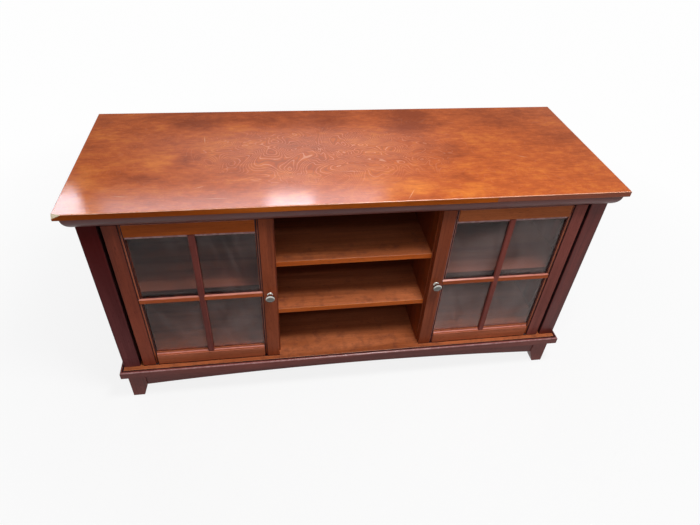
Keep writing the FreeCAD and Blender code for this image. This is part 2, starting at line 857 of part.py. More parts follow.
def make_rails(side):
    """Rails butt against the moulded edges in front and lap into the rebates behind."""
    name = SIDE_NAMES[side]
    lap = size["rebate_width"]
    low, high = between_stiles(side, lap)
    inner_low, inner_high = between_stiles(side)
    levels = (("top", door_top, sight_top, LEFT), ("bottom", door_bottom, sight_bottom, RIGHT))
    for label, outer, inner, toward in levels:
        section = swapped(frame_section(outer, inner, toward))
        rail = prism("YZ_Plane", section, low, high)
        bottom = outer if toward == RIGHT else inner
        top = inner if toward == RIGHT else outer
        laps = (
            board((low, front_face, bottom), (inner_low, glass_front, top)),
            board((inner_high, front_face, bottom), (high, glass_front, top)),
        )
        keep(less(rail, *laps), f"door_{label}_rail_{name}")


def bar_section(middle):
    """Glazing bar: flat front with a bevel on both sides."""
    half = size["bar_width"] / 2
    half_flat = size["bar_flat"] / 2
    front = front_face + size["bar_setback"]
    edge = front + size["bar_bevel"]
    return (
        (middle - half_flat, front),
        (middle + half_flat, front),
        (middle + half, edge),
        (middle + half, glass_front),
        (middle - half, glass_front),
        (middle - half, edge),
    )


def find(label):
    for piece in pieces:
        if piece.Label == label:
            return piece


def make_bars(side):
    """An upright bar coped over both rails, and two half crossbars coped over the stiles and the upright."""
    name = SIDE_NAMES[side]
    middle_x = (sight_hinge + sight_free) / 2
    middle_z = (sight_top + sight_bottom) / 2
    upright = prism(
        "XY_Plane",
        bar_section(side * middle_x),
        sight_bottom - bead_span,
        sight_top + bead_span,
    )
    rails = (find(f"door_top_rail_{name}"), find(f"door_bottom_rail_{name}"))
    upright = keep(less(upright, *rails), f"glazing_bar_upright_{name}")
    section = swapped(bar_section(middle_z))
    low, high = between_stiles(side, bead_span)
    stiles = (find(f"hinge_stile_{name}"), find(f"knob_stile_{name}"))
    halves = []
    for start, end in ((low, side * middle_x), (side * middle_x, high)):
        halves.append(less(prism("YZ_Plane", section, start, end), upright, *stiles))
    keep(group(*halves), f"glazing_crossbars_{name}")


def make_glass(side):
    """A single pane behind the bars, held by four beads nailed into the rebate."""
    name = SIDE_NAMES[side]
    margin = size["rebate_width"] - size["glass_play"]
    low, high = between_stiles(side, margin)
    pane_low = (low, glass_front, sight_bottom - margin)
    pane_high = (high, glass_back, sight_top + margin)
    keep(board(pane_low, pane_high), f"glass_{name}")
    lap = size["rebate_width"]
    outer_low, outer_high = between_stiles(side, lap)
    inner_low, inner_high = between_stiles(side)
    bottom = sight_bottom - lap
    top = sight_top + lap
    beads = (
        board((outer_low, glass_back, bottom), (inner_low, door_back, top)),
        board((inner_high, glass_back, bottom), (outer_high, door_back, top)),
        board((inner_low, glass_back, bottom), (inner_high, door_back, sight_bottom)),
        board((inner_low, glass_back, sight_top), (inner_high, door_back, top)),
    )
    keep(group(*beads), f"glazing_beads_{name}")


# Door hardware: pivots, knobs, catches and strikes


def make_pivot_plates():
    """A plate with a pin below and above each door, let in flush."""
    plates = []
    thick = size["plate_thick"]
    low_pin = size["door_lift"] + size["pin_grip"] + thick
    high_pin = size["door_drop"] + size["pin_grip"] + thick
    for side in (LEFT, RIGHT):
        x = side * pivot_x
        lower = floor_top - thick
        low_rod = rod(size["pin_size"], low_pin, x, pivot_y, lower, Vector(0, 0, 1))
        plates.append(joined(pivot_pocket(side, lower, floor_top), low_rod))
        upper = crown_bottom + thick
        high_rod = rod(size["pin_size"], high_pin, x, pivot_y, upper, Vector(0, 0, -1))
        plates.append(joined(pivot_pocket(side, crown_bottom, upper), high_rod))
    keep(group(*plates), "pivot_plates")


def make_bushes(side):
    """Flanged plastic bushes in the lower and upper end of the hinge stile."""
    bore = size["pin_size"] / 2 + size["pin_play"]
    wall = size["bush_size"] / 2
    flange = size["flange_size"] / 2
    depth = size["bush_depth"]
    bushes = []
    for level, up, gap in ((door_bottom, 1, size["door_lift"]), (door_top, -1, size["door_drop"])):
        thick = gap - size["flange_play"]
        corners = (
            (bore, -thick * up),
            (flange, -thick * up),
            (flange, 0),
            (wall, 0),
            (wall, depth * up),
            (bore, depth * up),
        )
        bushes.append(place(turned(corners), side * pivot_x, pivot_y, level))
    keep(group(*bushes), f"pivot_bushes_{SIDE_NAMES[side]}")


def make_knob(side):
    """A turned mushroom knob with a blind hole for its screw."""
    head = size["knob_head"] / 2
    neck = size["knob_neck"] / 2
    base = size["knob_base"] / 2
    reach = size["knob_reach"]
    rim_top = reach - size["knob_crown"]
    rim_bottom = rim_top - size["knob_rim"]
    dome = (head * head + size["knob_crown"] * size["knob_crown"]) / (size["knob_crown"] * 2)
    throat = rim_bottom - (head - neck)
    hole = size["screw_size"] / 2 + size["screw_play"]
    bite = size["screw_bite"] + size["screw_play"]
    corners = (
        (hole, 0),
        (base, 0),
        (base, size["knob_base_thick"] / 2, base - neck),
        (neck, size["knob_base_thick"]),
        (neck, throat, head - neck),
        (head, rim_bottom),
        (head, rim_top, dome),
        (0, reach),
        (0, bite),
        (hole, bite),
    )
    knob = turned(corners)
    knob.Placement.Rotation = FreeCAD.Rotation(Vector(0, 0, 1), Vector(0, -1, 0))
    keep(place(knob, side * knob_x, front_face, knob_z), f"knob_{SIDE_NAMES[side]}")


catch_top = crown_bottom - size["catch_drop"]


def make_door_hardware(side):
    """The knob's screw, put in from behind, and the strike plate for the catch."""
    shank_length = size["door_thick"] + size["screw_bite"]
    x = side * knob_x
    shank = rod(size["screw_size"], shank_length, x, door_back, knob_z, Vector(0, -1, 0))
    head = rod(size["screw_head"], size["screw_head_thick"], x, door_back, knob_z, Vector(0, 1, 0))
    margin = size["strike_margin"]
    strike = side_board(
        side,
        (divider_outer, door_back, catch_top - size["catch_height"] + margin),
        (divider_outer + size["catch_width"], door_back + size["strike_thick"], catch_top - margin),
    )
    keep(group(joined(shank, head), strike), f"door_hardware_{SIDE_NAMES[side]}")


def make_catches():
    """Magnetic catches screwed to the dividers, facing the strike plates."""
    catches = []
    for side in (LEFT, RIGHT):
        catches.append(side_board(
            side,
            (divider_outer, divider_front, catch_top - size["catch_height"]),
            (divider_outer + size["catch_width"], divider_front + size["catch_depth"], catch_top),
        ))
    keep(group(*catches), "magnetic_catches")


def make_console():
    make_top()
    make_mouldings()
    make_top_rails()
    make_floor()
    make_back()
    make_fixed_shelves()
    make_shelf_pins()
    make_aprons()
    make_corner_blocks()
    make_pivot_plates()
    make_catches()
    for side in (LEFT, RIGHT):
        make_side(side)
        make_divider(side)
        make_loose_shelf(side)
        for end in (FRONT, REAR):
            make_post(side, end)
            make_foot(side, end)
        make_stiles(side)
        make_rails(side)
        make_bars(side)
        make_glass(side)
        make_bushes(side)
        make_knob(side)
        make_door_hardware(side)
    doc.recompute()


def check_console():
    """Nothing failed, and every sub-part is a valid solid or group of solids."""
    for item in doc.Objects:
        if "Invalid" in item.State or "Error" in item.State:
            raise RuntimeError(f"{item.Label} did not recompute: {item.State}")
    for piece in pieces:
        if piece.Shape.isNull() or not piece.Shape.isValid() or not piece.Shape.Solids:
            raise RuntimeError(f"{piece.Label} has no valid shape")


def write_console():
    os.makedirs("parts", exist_ok=True)
    for piece in pieces:
        piece.Shape.exportStep(f"parts/{piece.Label}.step")
    print(len(pieces), "sub-parts,", sum(len(piece.Shape.Solids) for piece in pieces), "solids")


make_console()
check_console()
write_console()
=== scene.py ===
# %% [markdown]
# # A media console with two glazed doors
#
# The CAD solids already have the right shapes and sizes. They stand in one frame: metres, the origin on the
# floor under the middle of the top board, the front towards -Y and +Z up. This lesson loads them and adds
# what CAD leaves out: eased edges, stained and lacquered wood, glass, metal, and the light of a studio.

# %% Load the CAD model
import json
import math
import random

import bmesh
import bpy
from mathutils import Matrix, Vector

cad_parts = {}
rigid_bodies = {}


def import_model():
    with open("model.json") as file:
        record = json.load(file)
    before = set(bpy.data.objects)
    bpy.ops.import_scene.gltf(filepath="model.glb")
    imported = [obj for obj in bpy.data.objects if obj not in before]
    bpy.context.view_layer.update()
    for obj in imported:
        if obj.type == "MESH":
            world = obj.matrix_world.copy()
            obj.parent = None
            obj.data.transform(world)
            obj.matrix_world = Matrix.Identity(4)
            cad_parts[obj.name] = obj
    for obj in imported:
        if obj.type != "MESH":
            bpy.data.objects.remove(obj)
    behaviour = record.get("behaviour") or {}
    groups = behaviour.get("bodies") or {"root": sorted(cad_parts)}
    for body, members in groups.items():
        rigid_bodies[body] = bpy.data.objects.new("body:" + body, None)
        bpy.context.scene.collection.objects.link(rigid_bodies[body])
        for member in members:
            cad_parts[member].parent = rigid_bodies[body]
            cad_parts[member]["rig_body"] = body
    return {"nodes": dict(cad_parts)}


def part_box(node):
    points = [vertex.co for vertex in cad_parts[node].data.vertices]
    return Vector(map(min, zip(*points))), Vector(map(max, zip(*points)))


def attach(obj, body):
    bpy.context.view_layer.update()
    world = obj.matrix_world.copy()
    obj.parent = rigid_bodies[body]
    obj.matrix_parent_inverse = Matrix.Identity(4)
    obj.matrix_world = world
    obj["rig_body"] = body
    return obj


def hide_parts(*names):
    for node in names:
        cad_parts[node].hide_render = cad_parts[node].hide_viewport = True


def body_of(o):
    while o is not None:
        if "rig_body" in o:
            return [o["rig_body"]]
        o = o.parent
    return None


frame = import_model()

MM = 0.001
scene = bpy.context.scene
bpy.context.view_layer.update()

# %% [markdown]
# ## Colours, nodes and materials
#
# Colours are easiest to read as the hex values of a paint chart, but Blender calculates with linear light,
# so one function turns the first into the second. Shader trees get long, so another adds a node, sets it
# and feeds it in a single call: a socket of another node is linked, a hex colour is made linear, and any
# other value is typed in. A last one starts a material from one Principled shader.

# %% Colours and nodes
def linear(text):
    """An sRGB hex colour as linear red, green, blue and alpha."""
    steps = [int(text[place:place + 2], 16) / 255 for place in (1, 3, 5)]
    return [step / 12.92 if step <= 0.04045 else ((step + 0.055) / 1.055) ** 2.4 for step in steps] + [1.0]


def feed(tree, node, feeds):
    """Links each input of a node to the given socket, or types the given value or hex colour in."""
    for name, value in feeds.items():
        if isinstance(value, bpy.types.NodeSocket):
            tree.links.new(value, node.inputs[name])
        else:
            node.inputs[name].default_value = linear(value) if isinstance(value, str) else value


def add(tree, kind, feeds=None, **settings):
    """Adds one shader node with its settings and feeds, and gives back its outputs."""
    node = tree.nodes.new("ShaderNode" + kind)
    for name, value in settings.items():
        setattr(node, name, value)
    feed(tree, node, feeds or {})
    return node.outputs


def finish(name, feeds):
    """A new material, its tree, its Principled shader and a socket with the place of each point."""
    material = bpy.data.materials.new(name)
    material.use_nodes = True
    tree = material.node_tree
    shader = tree.nodes["Principled BSDF"]
    feed(tree, shader, feeds)
    return material, tree, shader, add(tree, "TexCoord")["Object"]


print("stain sample, linear:", [round(c, 3) for c in linear("#8A4418")[:3]])

# %% [markdown]
# ## Camera
#
# The photograph was taken standing up, a little left of the middle, looking down at the console. Lines that
# are parallel on the object run together in the picture, and that fixes where the camera was and how wide
# its lens is: 531 pixels of focal length on a picture 700 pixels wide, which is 27.3 mm on a 36 mm sensor.

# %% Place the camera
PICTURE_WIDTH = 700
FOCAL_PIXELS = 531
SENSOR_WIDTH = 36
EYE = (-0.2385, -1.4062, 1.5304)
GAZE = (0.1415, 0.7502, -0.6459)
UPWARD = (0.0568, 0.6466, 0.7606)
lens = bpy.data.cameras.new("camera")
lens.sensor_width = SENSOR_WIDTH
lens.lens = FOCAL_PIXELS / PICTURE_WIDTH * SENSOR_WIDTH
camera = bpy.data.objects.new("camera", lens)
scene.collection.objects.link(camera)
backward = -Vector(GAZE).normalized()
rightward = Vector(UPWARD).cross(backward).normalized()
turn = Matrix((rightward, backward.cross(rightward), backward)).transposed()
camera.matrix_world = Matrix.Translation(EYE) @ turn.to_4x4()
scene.camera = camera
print("camera: lens", round(lens.lens, 2), "mm, eye", [round(c, 3) for c in camera.location])

# %% [markdown]
# ## Room
#
# The console is lit like furniture in a plain studio. The walls are white to the eye, to mirrors and through
# glass, but give only an even, dim light. High up behind the console they are dark, so that the polished top
# mirrors no white wall: how far a ray points back, times how far it points up, tells that part of the room.

# %% Light the room
ROOM_LIGHT = 0.23
DARK_FROM = 0.2
DARK_TO = 0.32


def seen_rays(tree):
    """1 for a ray from the camera, from a mirror or through glass, and 0 for light that bounces on."""
    path = add(tree, "LightPath")
    seen = add(tree, "Math", {0: path["Is Camera Ray"], 1: path["Is Glossy Ray"]}, operation="MAXIMUM")[0]
    return add(tree, "Math", {0: seen, 1: path["Is Transmission Ray"]}, operation="MAXIMUM")[0]


scene.view_settings.view_transform = "Standard"
room = bpy.data.worlds.new("studio_room")
room.use_nodes = True
tree = room.node_tree
toward = add(tree, "SeparateXYZ", {0: add(tree, "TexCoord")["Generated"]})
behind = add(tree, "Math", {0: toward["Y"], 1: toward["Z"]}, operation="MULTIPLY")[0]
paint = {"Value": behind, "From Min": DARK_FROM, "From Max": DARK_TO, "To Min": 1.0, "To Max": ROOM_LIGHT}
paint = add(tree, "MapRange", paint, interpolation_type="SMOOTHSTEP")[0]
level = add(tree, "MapRange", {"Value": seen_rays(tree), "To Min": ROOM_LIGHT, "To Max": paint})[0]
feed(tree, tree.nodes["Background"], {"Color": "#FFFFFF", "Strength": level})
scene.world = room
print("room:", room.name, "light", ROOM_LIGHT)

# %% [markdown]
# ## Softboxes
#
# A softbox is a lamp behind cloth, and an area light gives the same soft shadows and mirror images. The
# key, high up at the front right, throws the shadows under the shelves. The others are there for the
# lacquer, which only looks wet where a lamp mirrors in it: a long strip above and behind the camera for
# every edge that slopes up and forward, and four upright ones behind, which the camera sees in the top.
# Cloth lets less light through near the rim, so those four fade.

# %% Set up the softboxes
SOFTBOXES = (
    # name, place, aim, width, height, watts, colour, share of half the width and height that fades
    ("key", (0.42, -0.8, 2.35), (0, -0.1, 0.5), 0.65, 0.36, 30, "#FFFFFF", None),
    ("strip", (0.3, -2.3, 2.7), (0.3, -0.2, 0.45), 3.6, 0.2, 10, "#FFFFFF", None),
    ("behind_left", (-2.0, 2.6, 2.71), (-2.0, 0, 2.71), 0.4, 0.5, 8.4, "#F2F2FF", (0.2, 0.3)),
    ("behind_middle", (-0.06, 2.6, 2.77), (-0.06, 0, 2.77), 0.52, 0.4, 7.8, "#F2F2FF", (0.45, 0.5)),
    ("behind_broad", (-0.46, 2.61, 2.85), (-0.46, 0, 2.85), 2.76, 0.76, 36, "#F2F2FF", (0.2, 0.8)),
    ("behind_wall", (0.0, 2.62, 2.42), (0.0, 0, 2.42), 3.4, 0.98, 12.5, "#F2F2FF", (1, 0.35)),
)


def fade_rim(lamp, place, half, rims):
    """Lets the light of an upright lamp fall off towards its rim, across and upward."""
    lamp.use_nodes = True
    tree = lamp.node_tree
    spot = {"Vector": add(tree, "NewGeometry")["Position"], "Location": place, "Scale": half}
    spot = add(tree, "Mapping", spot, vector_type="TEXTURE")[0]
    spot = add(tree, "SeparateXYZ", {0: spot})
    glow = 1.0
    for axis, rim in zip("XZ", rims):
        off = add(tree, "Math", {0: spot[axis]}, operation="ABSOLUTE")[0]
        soft = {"Value": off, "From Min": 1.0 - rim, "From Max": 1.0, "To Min": 1.0, "To Max": 0.0}
        soft = add(tree, "MapRange", soft, interpolation_type="SMOOTHSTEP")[0]
        glow = add(tree, "Math", {0: soft, 1: glow}, operation="MULTIPLY")[0]
    feed(tree, tree.nodes["Emission"], {"Strength": glow})


for name, place, aim, wide, high, watts, colour, rims in SOFTBOXES:
    lamp = bpy.data.lights.new(name, "AREA")
    lamp.shape = "RECTANGLE"
    lamp.size = wide
    lamp.size_y = high
    lamp.energy = watts
    lamp.color = linear(colour)[:3]
    if rims:
        fade_rim(lamp, place, (wide / 2, 1.0, high / 2), rims)
    softbox = bpy.data.objects.new(name, lamp)
    softbox.location = place
    softbox.rotation_euler = (Vector(aim) - Vector(place)).to_track_quat("-Z", "Y").to_euler()
    softbox.visible_camera = False
    scene.collection.objects.link(softbox)
print("softboxes:", len(SOFTBOXES))

# %% [markdown]
# ## Floor
#
# The photograph has a white ground. A white floor would throw light back up and wash out the dark wood, so
# it is white only to rays from the camera, from a mirror or through glass, and grey to the light that
# bounces on. To those rays it glows by a share that grows with distance, and the rest is matt paint that
# keeps the shadow.

# %% Make the floor
FLOOR_REACH = 30
SHADOW_REACH = 2.2
SHADOW_CORE = 0.6
GLOW_FAR = 0.985
GLOW_NEAR = 0.85
floor_mesh = bpy.data.meshes.new("floor")
floor_shape = bmesh.new()
bmesh.ops.create_grid(floor_shape, x_segments=1, y_segments=1, size=FLOOR_REACH)
floor_shape.to_mesh(floor_mesh)
floor_shape.free()
floor = bpy.data.objects.new("floor", floor_mesh)
scene.collection.objects.link(floor)
paint = bpy.data.materials.new("studio_floor_matt_paint")
paint.use_nodes = True
tree = paint.node_tree
tree.nodes.clear()
seen = seen_rays(tree)
tone = add(tree, "Mix", {0: seen, 6: "#9C9C9C", 7: "#F8F8F8"}, data_type="RGBA")[2]
matt = add(tree, "BsdfDiffuse", {"Color": tone})[0]
glow = add(tree, "Emission", {"Color": "#FFFFFF", "Strength": 1.0})[0]
near = add(tree, "Mapping", {"Vector": add(tree, "TexCoord")["Object"], "Scale": [1 / SHADOW_REACH] * 3})[0]
near = add(tree, "TexGradient", {"Vector": near}, gradient_type="SPHERICAL")[1]
share = {"Value": near, "From Max": SHADOW_CORE, "To Min": GLOW_FAR, "To Max": GLOW_NEAR}
share = add(tree, "MapRange", share)[0]
share = add(tree, "Math", {0: seen, 1: share}, operation="MULTIPLY")[0]
both = add(tree, "MixShader", {0: share, 1: matt, 2: glow})[0]
add(tree, "OutputMaterial", {"Surface": both})
floor_mesh.materials.append(paint)
print("floor:", 2 * FLOOR_REACH, "m across")

# %% [markdown]
# ## Streaks along the grain
#
# Every pattern in wood is long along the grain and narrow across it. A noise gives that, on coordinates that
# are squeezed by how often a streak of one real length and width repeats in a metre.

# %% Grain pattern
METRE = 1000
AXES = "XYZ"


def along_grain(tree, where, grain, length, width, **noise):
    """A noise drawn out along the grain, in streaks of this length and width in millimetres."""
    squeeze = [METRE / (length if axis == grain else width) for axis in AXES]
    spot = add(tree, "Mapping", {"Vector": where, "Scale": squeeze})[0]
    return add(tree, "TexNoise", {"Vector": spot, "Scale": 1.0, **noise})[0]


print("grain axes:", ", ".join(AXES))

# %% [markdown]
# ## Stained timber
#
# The case and the doors are a plain hardwood, stained cherry and sprayed with satin lacquer. Stain sinks
# deeper into soft early wood than into hard late wood, so the eye reads long streaks a few millimetres
# wide, short dark pores along them, and cloudy patches where the stain was wiped. Each board takes its own
# place in the pattern. Real pores are 0.2 mm wide, too fine for a picture of a whole cabinet, so they are
# drawn 1.2 mm wide. Some boards also darken along one axis, a painted shade, and those of the open bay
# have blots where something stood on them.

# %% Stained timber
LACQUER_IOR = 1.5
BOARD_STEP = (3.1, 5.3, 7.7)
BANDS = (600, 38)
STREAKS = (150, 3.4)
WIPES = (130, 80)
PORES = (16, 1.2)
BLOTS = 30
STREAK_SHARE = 0.45
PORE_DENT = -0.8


def darkened(tree, where, spot, darkening, blotted):
    """How dark the colour grows towards the pore tone: a painted shade from start to end along an axis, and
    blots.
    """
    axis, start, end, most = darkening
    along = add(tree, "SeparateXYZ", {0: where})[axis]
    depth = add(tree, "MapRange", {"Value": along, "From Min": start, "From Max": end, "To Max": most})[0]
    if not blotted:
        return depth
    blot = {"Vector": spot, "Scale": METRE / BLOTS, "Detail": 3.0, "Roughness": 0.6}
    blot = add(tree, "TexNoise", blot)[0]
    blot = add(tree, "MapRange", {"Value": blot, "From Min": 0.48, "From Max": 0.75, "To Max": 0.5})[0]
    return add(tree, "Math", {0: blot, 1: depth}, operation="MAXIMUM")[0]


def stained_timber(name, grain, pale, dark, pore, shine, roughness, darkening=None, blotted=False):
    """Stained and lacquered wood with its grain along one axis."""
    material, tree, shader, where = finish(name, {"Specular IOR Level": shine, "IOR": LACQUER_IOR})
    board = add(tree, "ObjectInfo")["Random"]
    spot = add(tree, "VectorMath", {0: board, 1: BOARD_STEP, 2: where}, operation="MULTIPLY_ADD")[0]
    wide = along_grain(tree, spot, grain, *BANDS, Detail=2.5, Distortion=0.6)
    fine = along_grain(tree, spot, grain, *STREAKS, Detail=3.0, Roughness=0.6)
    cloud = along_grain(tree, spot, grain, *WIPES, Detail=3.0)
    pores = along_grain(tree, spot, grain, *PORES, Detail=1.0)
    streak = add(tree, "Math", {0: fine, 1: STREAK_SHARE, 2: wide}, operation="MULTIPLY_ADD")[0]
    streak = add(tree, "MapRange", {"Value": streak, "From Min": 0.53, "From Max": 0.92})[0]
    colour = add(tree, "Mix", {0: streak, 6: dark, 7: pale}, data_type="RGBA")[2]
    shade = add(tree, "MapRange", {"Value": cloud, "From Min": 0.42, "From Max": 0.72, "To Max": 0.5})[0]
    colour = add(tree, "Mix", {0: shade, 6: colour, 7: dark}, data_type="RGBA")[2]
    if darkening:
        depth = darkened(tree, where, spot, darkening, blotted)
        colour = add(tree, "Mix", {0: depth, 6: colour, 7: pore}, data_type="RGBA")[2]
    open_pore = {"Value": pores, "From Min": 0.62, "From Max": 0.72, "To Max": 0.55}
    open_pore = add(tree, "MapRange", open_pore)[0]
    colour = add(tree, "Mix", {0: open_pore, 6: colour, 7: pore}, data_type="RGBA")[2]
    gloss = {"Value": cloud, "From Min": 0.3, "From Max": 0.7}
    gloss.update({"To Min": roughness - 0.06, "To Max": roughness + 0.08})
    gloss = add(tree, "MapRange", gloss)[0]
    height = add(tree, "Math", {0: open_pore, 1: PORE_DENT, 2: fine}, operation="MULTIPLY_ADD")[0]
    relief = add(tree, "Bump", {"Strength": 0.18, "Distance": 0.25 * MM, "Height": height})[0]
    feed(tree, shader, {"Base Color": colour, "Roughness": gloss, "Normal": relief})
    return material


print("streaks and pores in mm:", STREAKS, PORES)

# %% [markdown]
# ## The stains of this console
#
# The stain differs from board to board, as it does on cheap furniture, so each kind of board has its own
# pair of tones; the loose shelves behind the glass are darker as a painted shade. The boards of the open
# bay darken towards the back, a painted shade under the shelf above. The left post and stile darken
# upward, a painted shade under the cornice.

# %% Timber materials
# axis, where the darkening starts and ends along it in metres, most that it reaches
# the open bay darkens towards the back, a painted shade
SHADE_TOWARD_BACK = ("Y", -0.2, -0.09, 0.32)
# the left post and stile darken upward, a painted shade under the cornice
POST_SHADE_UPWARD = ("Z", 0.28, 0.66, 0.85)
STILE_SHADE_UPWARD = ("Z", 0.28, 0.66, 0.4)
TIMBERS = {
    # stain, grains: pale streak, dark streak, pore, shine, roughness, painted shade along an axis, blots
    ("case", "XY"): ("#8A4238", "#662C28", "#320F0C", 0.22, 0.34),
    ("case", "Z"): ("#742A24", "#4E1A16", "#260908", 0.2, 0.34),
    ("post", "Z"): ("#82362E", "#5A221E", "#2C0C0A", 0.25, 0.34),
    # the left post: darker, and darker still upward, a painted shade under the cornice
    ("post_sprayed", "Z"): ("#864A4A", "#663636", "#4E0A08", 0.03, 0.34, POST_SHADE_UPWARD),
    ("foot", "Z"): ("#94463C", "#6C3029", "#36120E", 0.22, 0.34),
    ("cornice", "XY"): ("#844640", "#62302C", "#321412", 0.36, 0.36),
    ("door", "X"): ("#C4601C", "#984412", "#521C06", 0.12, 0.36),
    ("door", "Z"): ("#A85230", "#7E3A20", "#46180C", 0.12, 0.36),
    # the left hinge stile: darker upward, a painted shade under the cornice
    ("stile_dark", "Z"): ("#AA5036", "#803A28", "#40160C", 0.12, 0.36, STILE_SHADE_UPWARD),
    ("head", "X"): ("#C66C3A", "#9A4C24", "#52200C", 0.12, 0.36),
    ("stile", "Z"): ("#9C5248", "#743A32", "#3C1812", 0.12, 0.36),
    ("bar", "X"): ("#CC6434", "#9E4820", "#541E0A", 0.12, 0.36),
    ("rail", "X"): ("#C46C48", "#985032", "#4E2012", 0.14, 0.36),
    ("bar", "Z"): ("#8E463C", "#6A302A", "#34120E", 0.12, 0.36),
    # the boards of the open bay: a painted shade towards the back, and real blots
    ("inner", "X"): ("#CC764A", "#9C522E", "#4E2E2E", 0.14, 0.38, SHADE_TOWARD_BACK, True),
    ("inner", "Z"): ("#9C4820", "#722E12", "#3E2222", 0.14, 0.38, SHADE_TOWARD_BACK, True),
    # the loose shelves behind the glass: a darker copy of the shelf wood, a painted shade
    ("shelf", "X"): ("#9E6450", "#764638", "#402016", 0.14, 0.40),
    ("edging", "X"): ("#C0621A", "#8E3E08", "#4C1A02", 0.06, 0.34),
    ("shelf_edging", "X"): ("#E5711C", "#B34F0F", "#561E08", 0.16, 0.34),
    # the right length of the top's lipping, its ends and back: darker, a painted shade
    ("edging_dark", "X"): ("#A05840", "#763C2A", "#401A12", 0.14, 0.34),
    # the lipping of the loose shelves behind the glass: near black, a painted shade
    ("lipping", "X"): ("#38201A", "#24120E", "#140806", 0.14, 0.40),
}
timber = {}
for (stain, grains), look in TIMBERS.items():
    for grain in grains:
        name = f"hardwood_stained_cherry_lacquered_{stain}_{grain.lower()}"
        timber[stain, grain] = stained_timber(name, grain, *look)
print("timber materials:", len(timber))

# %% [markdown]
# ## Rubbed, highlit edges and shaded grooves
#
# A machine sands the sharp edges of every board before the stain, and hands and dusters rub them ever
# after. The stain lies thinner there, and the edges that point up and forward also carry a painted
# highlight, so they read as fine, lighter and redder lines. Grooves, gaps and hidden sides take a painted
# shade instead, a thin dark line where shadow falls. Each eased edge and each groove is real geometry, and
# gets a finish of its own instead of a mask.

# %% Edge and groove materials
WEAR_RUN = 22
# edges that slope up and forward: worn stain with a painted highlight, pinkest on the rails, bars and top
EDGES = {
    # stain: pale run, dark run, shine, roughness
    "case": ("#B48280", "#925654", 0.7, 0.22),
    "door": ("#B05524", "#8C401C", 0.5, 0.28),
    "rail": ("#D88472", "#B86656", 0.8, 0.26),
    "bar": ("#D07C66", "#AC604C", 0.72, 0.26),
    "inner": ("#C47A44", "#A45C2C", 0.5, 0.3),
    "shelf": ("#F0A05C", "#CC7E44", 0.5, 0.3),
    "top": ("#F0B496", "#D68E6A", 0.9, 0.22),
}


def rubbed_or_painted_light(name, pale_run, dark_run, shine, roughness):
    """Stained wood whose colour wanders in short runs: worn edges with a painted highlight, and grooves in
    painted shade.
    """
    material, tree, shader, where = finish(name, {"Specular IOR Level": shine, "IOR": LACQUER_IOR})
    run_noise = {"Vector": where, "Scale": METRE / WEAR_RUN, "Detail": 4.0, "Roughness": 0.6}
    run_noise = add(tree, "TexNoise", run_noise)[0]
    run_noise = add(tree, "MapRange", {"Value": run_noise, "From Min": 0.3, "From Max": 0.7})[0]
    colour = add(tree, "Mix", {0: run_noise, 6: dark_run, 7: pale_run}, data_type="RGBA")[2]
    gloss = add(tree, "MapRange", {"Value": run_noise, "To Min": roughness, "To Max": roughness + 0.1})[0]
    feed(tree, shader, {"Base Color": colour, "Roughness": gloss})
    return material


edge = {stain: rubbed_or_painted_light(f"hardwood_stained_rubbed_edge_{stain}", *look) for stain, look in EDGES.items()}
# the dark finish of grooves, gaps and hidden sides is a painted shade
groove_shade = rubbed_or_painted_light("hardwood_painted_shade_in_groove", "#3C1618", "#260E10", 0.2, 0.6)
print("edge materials:", len(edge), "and", groove_shade.name)

# %% [markdown]
# ## Marks on the top
#
# The top has soft clouds of paler and darker stain and a few bright scratches; the wide dark cloud along the
# back is a painted shade. Both are oval patches, placed one by one: a spherical gradient is 1 in the middle
# and 0 from the rim outward, and a mapping node sets its place, size and turn. A real scratch is a hair
# wide, too fine to show, so it is drawn 3.2 mm wide with soft sides.

# %% Clouds and scratches
CLOUDS = (
    # middle x, y and half width x, y in millimetres on the top; plus is paler, minus is darker
    (-566, -128, 90, 34, -0.4), (-735, 66, 70, 50, -0.25), (-442, 203, 130, 75, -0.45),
    (-533, -30, 40, 90, 0.35), (-722, -106, 60, 90, 0.25), (-635, 55, 55, 50, -0.2),
    (-327, 171, 60, 45, 0.25), (-470, -28, 45, 75, -0.2), (-374, -235, 70, 36, -0.2),
    (225, 165, 110, 120, -0.55), (332, -14, 85, 80, -0.4), (318, -174, 50, 40, -0.35),
    (312, -245, 90, 45, 0.4), (172, -226, 55, 45, 0.25), (660, -215, 110, 105, 0.12),
    (181, -262, 50, 30, -0.3), (655, 60, 120, 85, -0.25), (560, 190, 150, 80, -0.2),
    # the wide dark cloud at (0, 270) is a painted shade: the back of the top gets less light
    (-60, 190, 160, 70, -0.2), (60, -150, 120, 80, 0.2), (0, 270, 1100, 150, -0.35),
    (690, 40, 200, 300, -0.12), (-690, -200, 130, 120, 0.28), (100, -235, 170, 60, 0.2),
)
SCRATCHES = (
    # from x, y to x, y in millimetres on the top
    (-425, 111, -420, 59), (-437, -184, -403, -170), (-419, -233, -334, -235), (152, -220, 119, -277),
    (-237, -42, -201, -42), (-47, -119, 37, -124), (505, -60, 540, -75), (-640, -205, -590, -212),
)
SCRATCH_HALF = 1.6
THROUGH = 1_000_000


def soft_patch(tree, where, middle, half, turn=0.0):
    """A soft oval patch on the top and right through it, in millimetres: 1 in the middle, 0 outside."""
    spot = {"Vector": where, "Location": (middle[0] * MM, middle[1] * MM, 0), "Rotation": (0, 0, turn)}
    spot["Scale"] = (half[0] * MM, half[1] * MM, THROUGH * MM)
    spot = add(tree, "Mapping", spot, vector_type="TEXTURE")[0]
    return add(tree, "TexGradient", {"Vector": spot}, gradient_type="SPHERICAL")[1]


